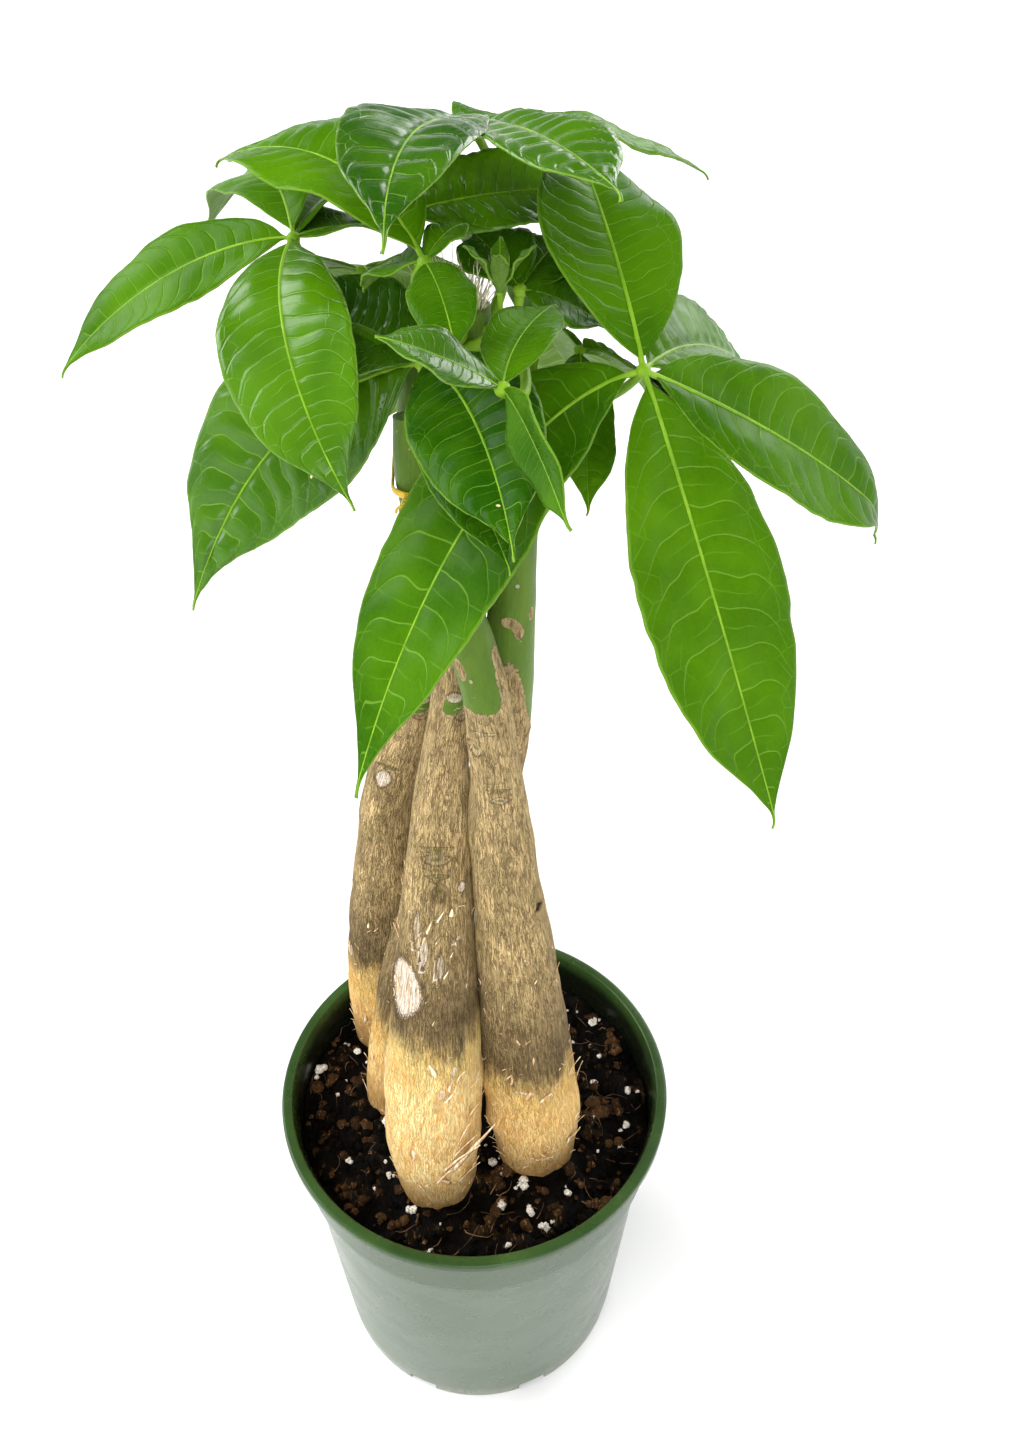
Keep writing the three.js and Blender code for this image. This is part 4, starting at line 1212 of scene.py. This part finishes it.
def make_leaf(name, leaf, order):
    hub = Vector(leaf["hub"])
    face = Vector(leaf["face"]).normalized()
    blades = Shape("blade", "growth")
    stalks = Shape("blade", "growth")
    stalks.tube(in_metres(stalk_stations(leaf, hub, face, STALK_FOOT, STALK_TOP)), STALK_SIDES, slot=STALK)
    add_hub(stalks, hub, face, HUB)
    for number, leaflet in enumerate(leaf["leaflets"]):
        seed = (0.137 * (order * 5 + number) + 0.05) % 1
        quilt = leaflet.get("quilt", leaf["quilt"])
        add_leaflet(blades, stalks, LEAF_RIB_SIDES, hub, face, leaflet, number, quilt, seed)
    finished_leaf(name + "_blades", blades, stalks, name, leaf_upper)


def make_shoot():
    hub = Vector(SHOOT_HUB)
    blades = Shape("blade", "growth")
    stalks = Shape("blade", "growth")
    stalks.tube(in_metres(stalk_stations(SHOOT_FOOT, hub, UP, HUB / 2, HUB / 3)), SHOOT_SIDES, slot=STALK)
    add_hub(stalks, hub, UP, HUB / 2)
    for number in range(SHOOT_LEAFLETS):
        out = (bearing(number * 360 / SHOOT_LEAFLETS) * SHOOT_LEAFLET["spread"] + UP).normalized()
        leaflet = dict(SHOOT_LEAFLET, tip=hub + out * SHOOT_LEAFLET["length"])
        face = out.cross(UP).cross(out).normalized()
        add_leaflet(blades, stalks, SHOOT_RIB_SIDES, hub, face, leaflet, number, SHOOT_QUILT, 0.2 * number)
    finished_leaf("young_shoot_blades", blades, stalks, "young_shoot", leaf_fresh)


# ---- Pot ----


def pot_outside(height):
    if height >= BAND_BOTTOM:
        return BAND_RADIUS
    if height < STEP_HEIGHT:
        return lerp(FOOT_RADIUS, STEP_RADIUS, height / STEP_HEIGHT)
    return lerp(STEP_RADIUS, BAND_RADIUS, smooth(STEP_HEIGHT, BAND_BOTTOM, height))


def rounded(corner, radius, start, stop, steps=5):
    """Profile points round a corner's centre, from one angle to another in degrees."""
    turns = [math.radians(lerp(start, stop, share)) for share in shares(steps)]
    return [(corner[0] + radius * math.cos(turn), corner[1] + radius * math.sin(turn)) for turn in turns]


def pot_profile():
    """The wall's outline from the underside, up the outside and down the inside: (radius, height, material)."""
    lip_bottom = POT_HEIGHT - LIP_DROP
    outer = rounded((FOOT_RADIUS - FOOT_ROUNDING, FOOT_ROUNDING), FOOT_ROUNDING, -90, 0)
    outer += [(pot_outside(height), height) for height in [*WALL_HEIGHTS, lip_bottom - 1]]
    outer += rounded((BAND_RADIUS + 1, lip_bottom - 0.9), 1, 180, 90, 3)
    lip = rounded((LIP_RADIUS - LIP_ROUNDING, lip_bottom + LIP_ROUNDING), LIP_ROUNDING, -90, 0)
    lip += rounded((LIP_RADIUS - LIP_ROUNDING, POT_HEIGHT - LIP_ROUNDING), LIP_ROUNDING, 0, 90)
    inner_edge = LIP_RADIUS - LIP_WIDTH
    lip += rounded((inner_edge, POT_HEIGHT - LIP_ROUNDING), LIP_ROUNDING, 90, 180)
    inner = [(pot_outside(height) - POT_WALL, height) for height in INSIDE_HEIGHTS]
    wall = [(FOOT_RADIUS - 8, 0), *outer]
    return [(radius, height, 0) for radius, height in wall] + [(radius, height, 1) for radius, height in lip + inner]


def level_ring(shape, radius, height, sides):
    return [shape.point((bearing(360 * side / sides) * radius + UP * height) * MM) for side in range(sides)]


def make_pot():
    shape = Shape()
    profile = pot_profile()
    rows = [level_ring(shape, *point[:2], POT_SIDES) for point in profile]
    shape.closed(rows, [point[2] for point in profile[1:]])
    pot = shape.piece("pot_shell", [pot_wall, pot_lip])
    cutters = Shape()
    reach = NOTCH_DEPTH + 6  # past the wall's outside
    for notch in range(NOTCHES):
        out = bearing((notch + 0.5) * 360 / NOTCHES)
        aside = UP.cross(out)
        middle = out * (FOOT_RADIUS - NOTCH_DEPTH + reach / 2)
        corners = [
            (middle + out * (x * reach / 2) + aside * (y * NOTCH_WIDTH / 2) + UP * (z * NOTCH_HEIGHT)) * MM
            for z in (-1, 1)
            for x, y in ((-1, -1), (1, -1), (1, 1), (-1, 1))
        ]
        cutters.rings([corners[:4], corners[4:]])
    cutter = cutters.piece("notch_cutter", [])
    cut = pot.modifiers.new("notches", "BOOLEAN")
    cut.operation = "DIFFERENCE"
    cut.solver = "EXACT"
    cut.object = cutter
    settle(pot)
    bpy.data.objects.remove(cutter)
    pot.data.set_sharp_from_angle(angle=math.radians(40))
    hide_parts("pot")
    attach(pot, BODY)


# ---- Soil ----


def soil_height(x, y):
    """The height of the soil at a place, as in the solids, in millimetres."""
    edge = pot_outside(SOIL_LEVEL) - POT_WALL - GAP
    share = 1 - min(math.hypot(x, y) / edge, 1)
    coarse = math.sin(0.19 * x + 1.3) * math.cos(0.17 * y - 0.4)
    fine = math.sin(0.41 * x - 0.23 * y) * math.cos(0.37 * y + 0.31 * x + 2)
    lump = SOIL_LUMP * (0.6 * coarse + 0.4 * fine) * smooth(0, 0.1, share)
    return SOIL_LEVEL + SOIL_MOUND * math.sin(math.pi / 2 * share) + lump


def crumble(x, y):
    """How far the crumbly surface stands up at a place, from about -1 to 1."""
    return noise.fractal(Vector((x, y, 3)) * 0.075, 0.75, 2.3, 5)


def crumbled(x, y):
    return soil_height(x, y) + SOIL_ROUGHNESS * crumble(x, y)


def make_soil():
    shape = Shape("ground")
    edge = pot_outside(SOIL_LEVEL) - POT_WALL - GAP
    rows = []
    for height in (POT_FLOOR + GAP, 60, STEP_HEIGHT, BAND_BOTTOM, SOIL_LEVEL - 3):
        rows.append(level_ring(shape, pot_outside(height) - POT_WALL - GAP, height, SOIL_SIDES))
    for step in range(SOIL_RINGS):
        radius = edge * (1 - step / SOIL_RINGS)
        row = []
        for side in range(SOIL_SIDES):
            at = bearing(360 * side / SOIL_SIDES) * radius
            at.z = crumbled(at.x, at.y)
            # The ground mark's height is the crumbled relief, which the peat finish paints as shade in the hollows
            # and light on the tops.
            row.append(shape.point(at * MM, ground=(0.5 * crumble(at.x, at.y), 0, 0)))
        rows.append(row)
    shape.closed(rows, [0] * (len(rows) - 1))
    soil = shape.piece("soil_surface", [peat])
    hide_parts("soil")
    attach(soil, BODY)


def free_spot(draw, margin):
    """A place on the soil, clear of the stems by the margin."""
    feet = [stem_at(name, SOIL_LEVEL) for name in STEMS]
    while True:
        radius = (BAND_RADIUS - POT_WALL - 2) * math.sqrt(draw.random())
        spot = bearing(draw.uniform(0, 360)) * radius
        if all(math.hypot(spot.x - at.x, spot.y - at.y) > foot + margin for at, foot in feet):
            spot.z = crumbled(spot.x, spot.y)
            return spot


def add_grain(shape, draw, at, size, flat, brown):
    """A small angular lump: a few rings of points, each moved by a random draw."""
    tilt = bearing(draw.uniform(0, 360))
    stretch = draw.uniform(0.7, 1.25)
    rings = []
    for share in shares(GRAIN_ROWS - 1):
        lean = lerp(0.12, 0.88, share) * math.pi
        centre = at - UP * (math.cos(lean) * size * flat)
        across = size * math.sin(lean)
        placed = []
        for spot in ring(centre, tilt, UP.cross(tilt), across, GRAIN_SIDES):
            moved = Vector([draw.uniform(-GRAIN_RAGGED, GRAIN_RAGGED) * size for axis in range(3)])
            placed.append((centre + (spot - centre) * stretch + moved) * MM)
        rings.append(placed)
    # Higher rings get a higher ground mark, which the peat finish paints lighter: painted light on a crumb's top,
    # painted shade at its foot.
    shape.rings(rings, mark=lambda row, side: {"ground": (0.2 * row / GRAIN_ROWS, brown, 0)})


def scatter(name, material, count, seed, sizes, flat, sunk):
    """Grains on the soil, alone or in small clusters, from small to large sizes, flattened and sunk in."""
    draw = random.Random(seed)
    shape = Shape("ground")
    for _ in range(count):
        size = lerp(*sizes, draw.random() ** 2)
        spot = free_spot(draw, size * 0.4)
        brown = draw.uniform(-0.5, 0.65)
        for lump in range(draw.randint(*CLUSTER)):
            part = size * draw.uniform(0.55, 1)
            aside = Vector([draw.gauss(0, 0.6 * size) if lump else 0 for axis in range(2)] + [0])
            flat_spot = Vector((spot.x + aside.x, spot.y + aside.y, 0))
            inside = min(1, (BAND_RADIUS - POT_WALL - 1.3 * part) / flat_spot.length)
            centre = flat_spot * inside + UP * (spot.z + part * (0.5 - sunk))
            add_grain(shape, draw, centre, part, flat, brown)
    grains = shape.piece(name, [material])
    grains.data.set_sharp_from_angle(angle=math.radians(50))
    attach(grains, BODY)


def make_fibres():
    draw = random.Random(5)
    shape = Shape()
    for _ in range(FIBRES):
        spot = free_spot(draw, 1)
        direction = bearing(draw.uniform(0, 360))
        bend = draw.uniform(-FIBRE_BEND, FIBRE_BEND)
        length = draw.uniform(*FIBRE_LENGTHS)
        radius = draw.uniform(*FIBRE_RADII)
        stations = []
        for share in shares(6):
            turn = bend * share
            heading = direction * math.cos(turn) + UP.cross(direction) * math.sin(turn)
            at = spot + heading * (length * share)
            at.z = min(crumbled(at.x, at.y), POT_HEIGHT - 4) + 0.4 + draw.uniform(0, 1.2) * math.sin(math.pi * share)
            inside = BAND_RADIUS - POT_WALL - 1
            flat = Vector((at.x, at.y, 0))
            if flat.length > inside:
                at = flat.normalized() * inside + UP * at.z
            stations.append((at, radius * (1 - 0.6 * share)))
        shape.tube(in_metres(stations), 5)
    fibres = shape.piece("peat_fibres", [coir])
    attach(fibres, BODY)


# ---- Frayed wood, flakes and the tie ----


def make_fray():
    """The fibres that stand up from the cut top of the front stem."""
    draw = random.Random(8)
    shape = Shape()
    top, radius = stem_at("stem_front", STEMS["stem_front"][-1][2])
    for _ in range(FRAY_FIBRES):
        root = top + bearing(draw.uniform(0, 360)) * (radius * 0.8 * math.sqrt(draw.random())) - UP * 1.5
        lean = (root - top) * 0.09 + Vector((draw.gauss(-0.08, 0.25), draw.gauss(0.25, 0.25), 1))
        length = draw.uniform(*FRAY_LENGTHS)
        droop = Vector((draw.gauss(0, 1.4), draw.gauss(0, 1.4), -draw.uniform(0, 1.5)))
        stations = []
        for share in shares(5):
            at = root + lean * (length * share) + droop * share**2
            stations.append((at, draw.uniform(*FRAY_RADII) * (1 - 0.75 * share)))
        shape.tube(in_metres(stations), 5)
    fray = shape.piece("stem_front_fray", [straw])
    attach(fray, BODY)


def add_sliver(shape, name, height, turn, length, width, lift, slant):
    """A thin tongue, rooted on a stem, whose end stands off it by the lift."""
    out = bearing(turn)
    aside = UP.cross(out)
    rings = []
    for share in shares(5):
        at, radius = stem_at(name, height + length * share)
        off = out * (lift * share**1.5 - 0.1) + aside * (slant * length * share)
        centre = bark_place(name, at, radius, out)[0] + off
        half = width / 2 * math.sin(math.pi * lerp(0.25, 0.97, share))
        rings.append([
            (centre + aside * (x * half) + out * (y * SLIVER_HALF_THICKNESS)) * MM
            for x, y in ((-1, 0.3), (0, -1), (1, 0.3), (0, 1))
        ])
    shape.rings(rings)


def make_slivers():
    """Slivers and hairs of bark that lift off the stems, most of them near the pale feet."""
    draw = random.Random(13)
    shape = Shape()
    for sliver in SLIVERS:
        add_sliver(shape, *sliver)
    for name in STEMS:
        for _ in range(BARK_HAIRS):
            height = lerp(HAIRS_FROM, STEM_TONES[name]["pale_to"] + HAIRS_PAST_PALE, draw.random() ** 1.6)
            thin = draw.random()
            turn = draw.uniform(0, 360)
            length = draw.uniform(*HAIR_LENGTHS)
            lift = draw.uniform(*HAIR_LIFTS) * (1.2 - thin)
            slant = draw.gauss(0.1, 0.5)
            add_sliver(shape, name, height, turn, length, lerp(*HAIR_WIDTHS, thin**4), lift, slant)
    slivers = shape.piece("bark_slivers", [sliver_wood])
    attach(slivers, BODY)


def tie_place(out):
    """Where the tie lies in a direction: on the stem that reaches furthest that way."""
    held = [stem_at(name, TIE_HEIGHT) for name in STEMS]
    at, radius = max(held, key=lambda stem: stem[0].dot(out) + stem[1])
    return at + out * (radius + TIE_OFFSET)


def make_tie():
    shape = Shape()
    rows = []
    for step in range(TIE_STEPS):
        out = bearing(360 * step / TIE_STEPS)
        thick, broad = out * TIE_HALF_THICKNESS, UP * -TIE_HALF_BREADTH
        rows.append([shape.point(spot * MM) for spot in ellipse(tie_place(out), thick, broad, TIE_SIDES)])
    shape.skin(rows + rows[:1], [0] * TIE_STEPS)
    out = bearing(TIE_BEARING)
    aside = UP.cross(out)
    root = tie_place(out)
    for strand in (0, math.pi):
        stations = []
        for share in shares(30):
            turn = 2 * math.pi * TIE_TURNS * share + strand
            away = 0.2 + 0.5 * smooth(0, 0.15, share) + 1.1 * smooth(0.75, 1, share)
            at = root + out * (TIE_TAIL * share) - UP * (3 * share**2)
            stations.append((at + (aside * math.cos(turn) + UP * math.sin(turn)) * away, 0.4))
        shape.tube(in_metres(stations), 8)
    tie = shape.piece("twist_tie_strip", [tie_yellow])
    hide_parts("twist_tie")
    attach(tie, BODY)


# ---- Floor, light and camera ----


def make_pale_floor():
    dust = span(noise_at(place(), 3, 3), 0.3, 0.7)
    return {"Base_Color": mixed(dust, (0.86, 0.86, 0.86), (0.88, 0.88, 0.88))}


def make_glow():
    """How bright the room is in each direction: darker higher up, and brightest where a soft box stands."""
    towards = put("ShaderNodeTexCoord", {}, {}, output="Generated")
    glow = span(parts(towards)[2], *SKY_BETWEEN, *SKY_GLOW)
    for direction, strength in SOFT_BOXES:
        box = Vector(direction).normalized()
        facing = put("ShaderNodeVectorMath", {"operation": "DOT_PRODUCT"}, {0: towards, 1: box}, output="Value")
        glow = glow + span(facing, *SOFT_BOX_EDGE, 0, strength)
    return glow


def stand(name, held):
    """A lamp or a camera, put into the scene."""
    placed = bpy.data.objects.new(name, held)
    bpy.context.scene.collection.objects.link(placed)
    return placed


def make_studio():
    floor = Shape()
    floor.face([floor.point(bearing(360 * side / FLOOR_SIDES) * FLOOR_RADIUS) for side in range(FLOOR_SIDES)])
    paper = floor.piece("studio_floor", [finish_of("pale_floor", make_pale_floor, Roughness=0.9)])

    world = bpy.data.worlds.new("studio")
    world.use_nodes = True
    trees.append(world.node_tree)
    set_socket(trees[-1].nodes["Background"].inputs["Color"], make_glow())
    trees.pop()
    bpy.context.scene.world = world

    for name, strength, softness, towards in LAMPS:
        lamp = bpy.data.lights.new(name, "SUN")
        lamp.energy = strength
        lamp.angle = math.radians(softness)
        placed = stand(name, lamp)
        placed.rotation_euler = Vector(towards).to_track_quat("Z", "Y").to_euler()
        placed.visible_glossy = False

    camera = bpy.data.cameras.new("camera")
    camera.sensor_width = SENSOR
    camera.lens = SENSOR * FOCAL_LENGTH / PHOTO_HEIGHT
    camera.clip_start = 0.01
    placed = stand("camera", camera)
    placed.location = VIEW_FROM
    placed.rotation_euler = (math.pi / 2 - VIEW_DOWN, 0, 0)
    bpy.context.scene.camera = placed
    bpy.context.scene.view_settings.view_transform = "Standard"


make_studio()
make_pot()
make_soil()
scatter("peat_crumbs", peat, CRUMBS, 2, CRUMB_SIZES, flat=0.8, sunk=0.4)
scatter("perlite_grains", perlite, PERLITE, 3, PERLITE_SIZES, flat=0.85, sunk=0.0)
make_fibres()
for stem_name in STEMS:
    make_stem(stem_name)
make_fray()
make_slivers()
make_tie()
for leaf_order, (leaf_name, leaf_table) in enumerate(LEAVES.items()):
    make_leaf(leaf_name, leaf_table, leaf_order)
make_shoot()
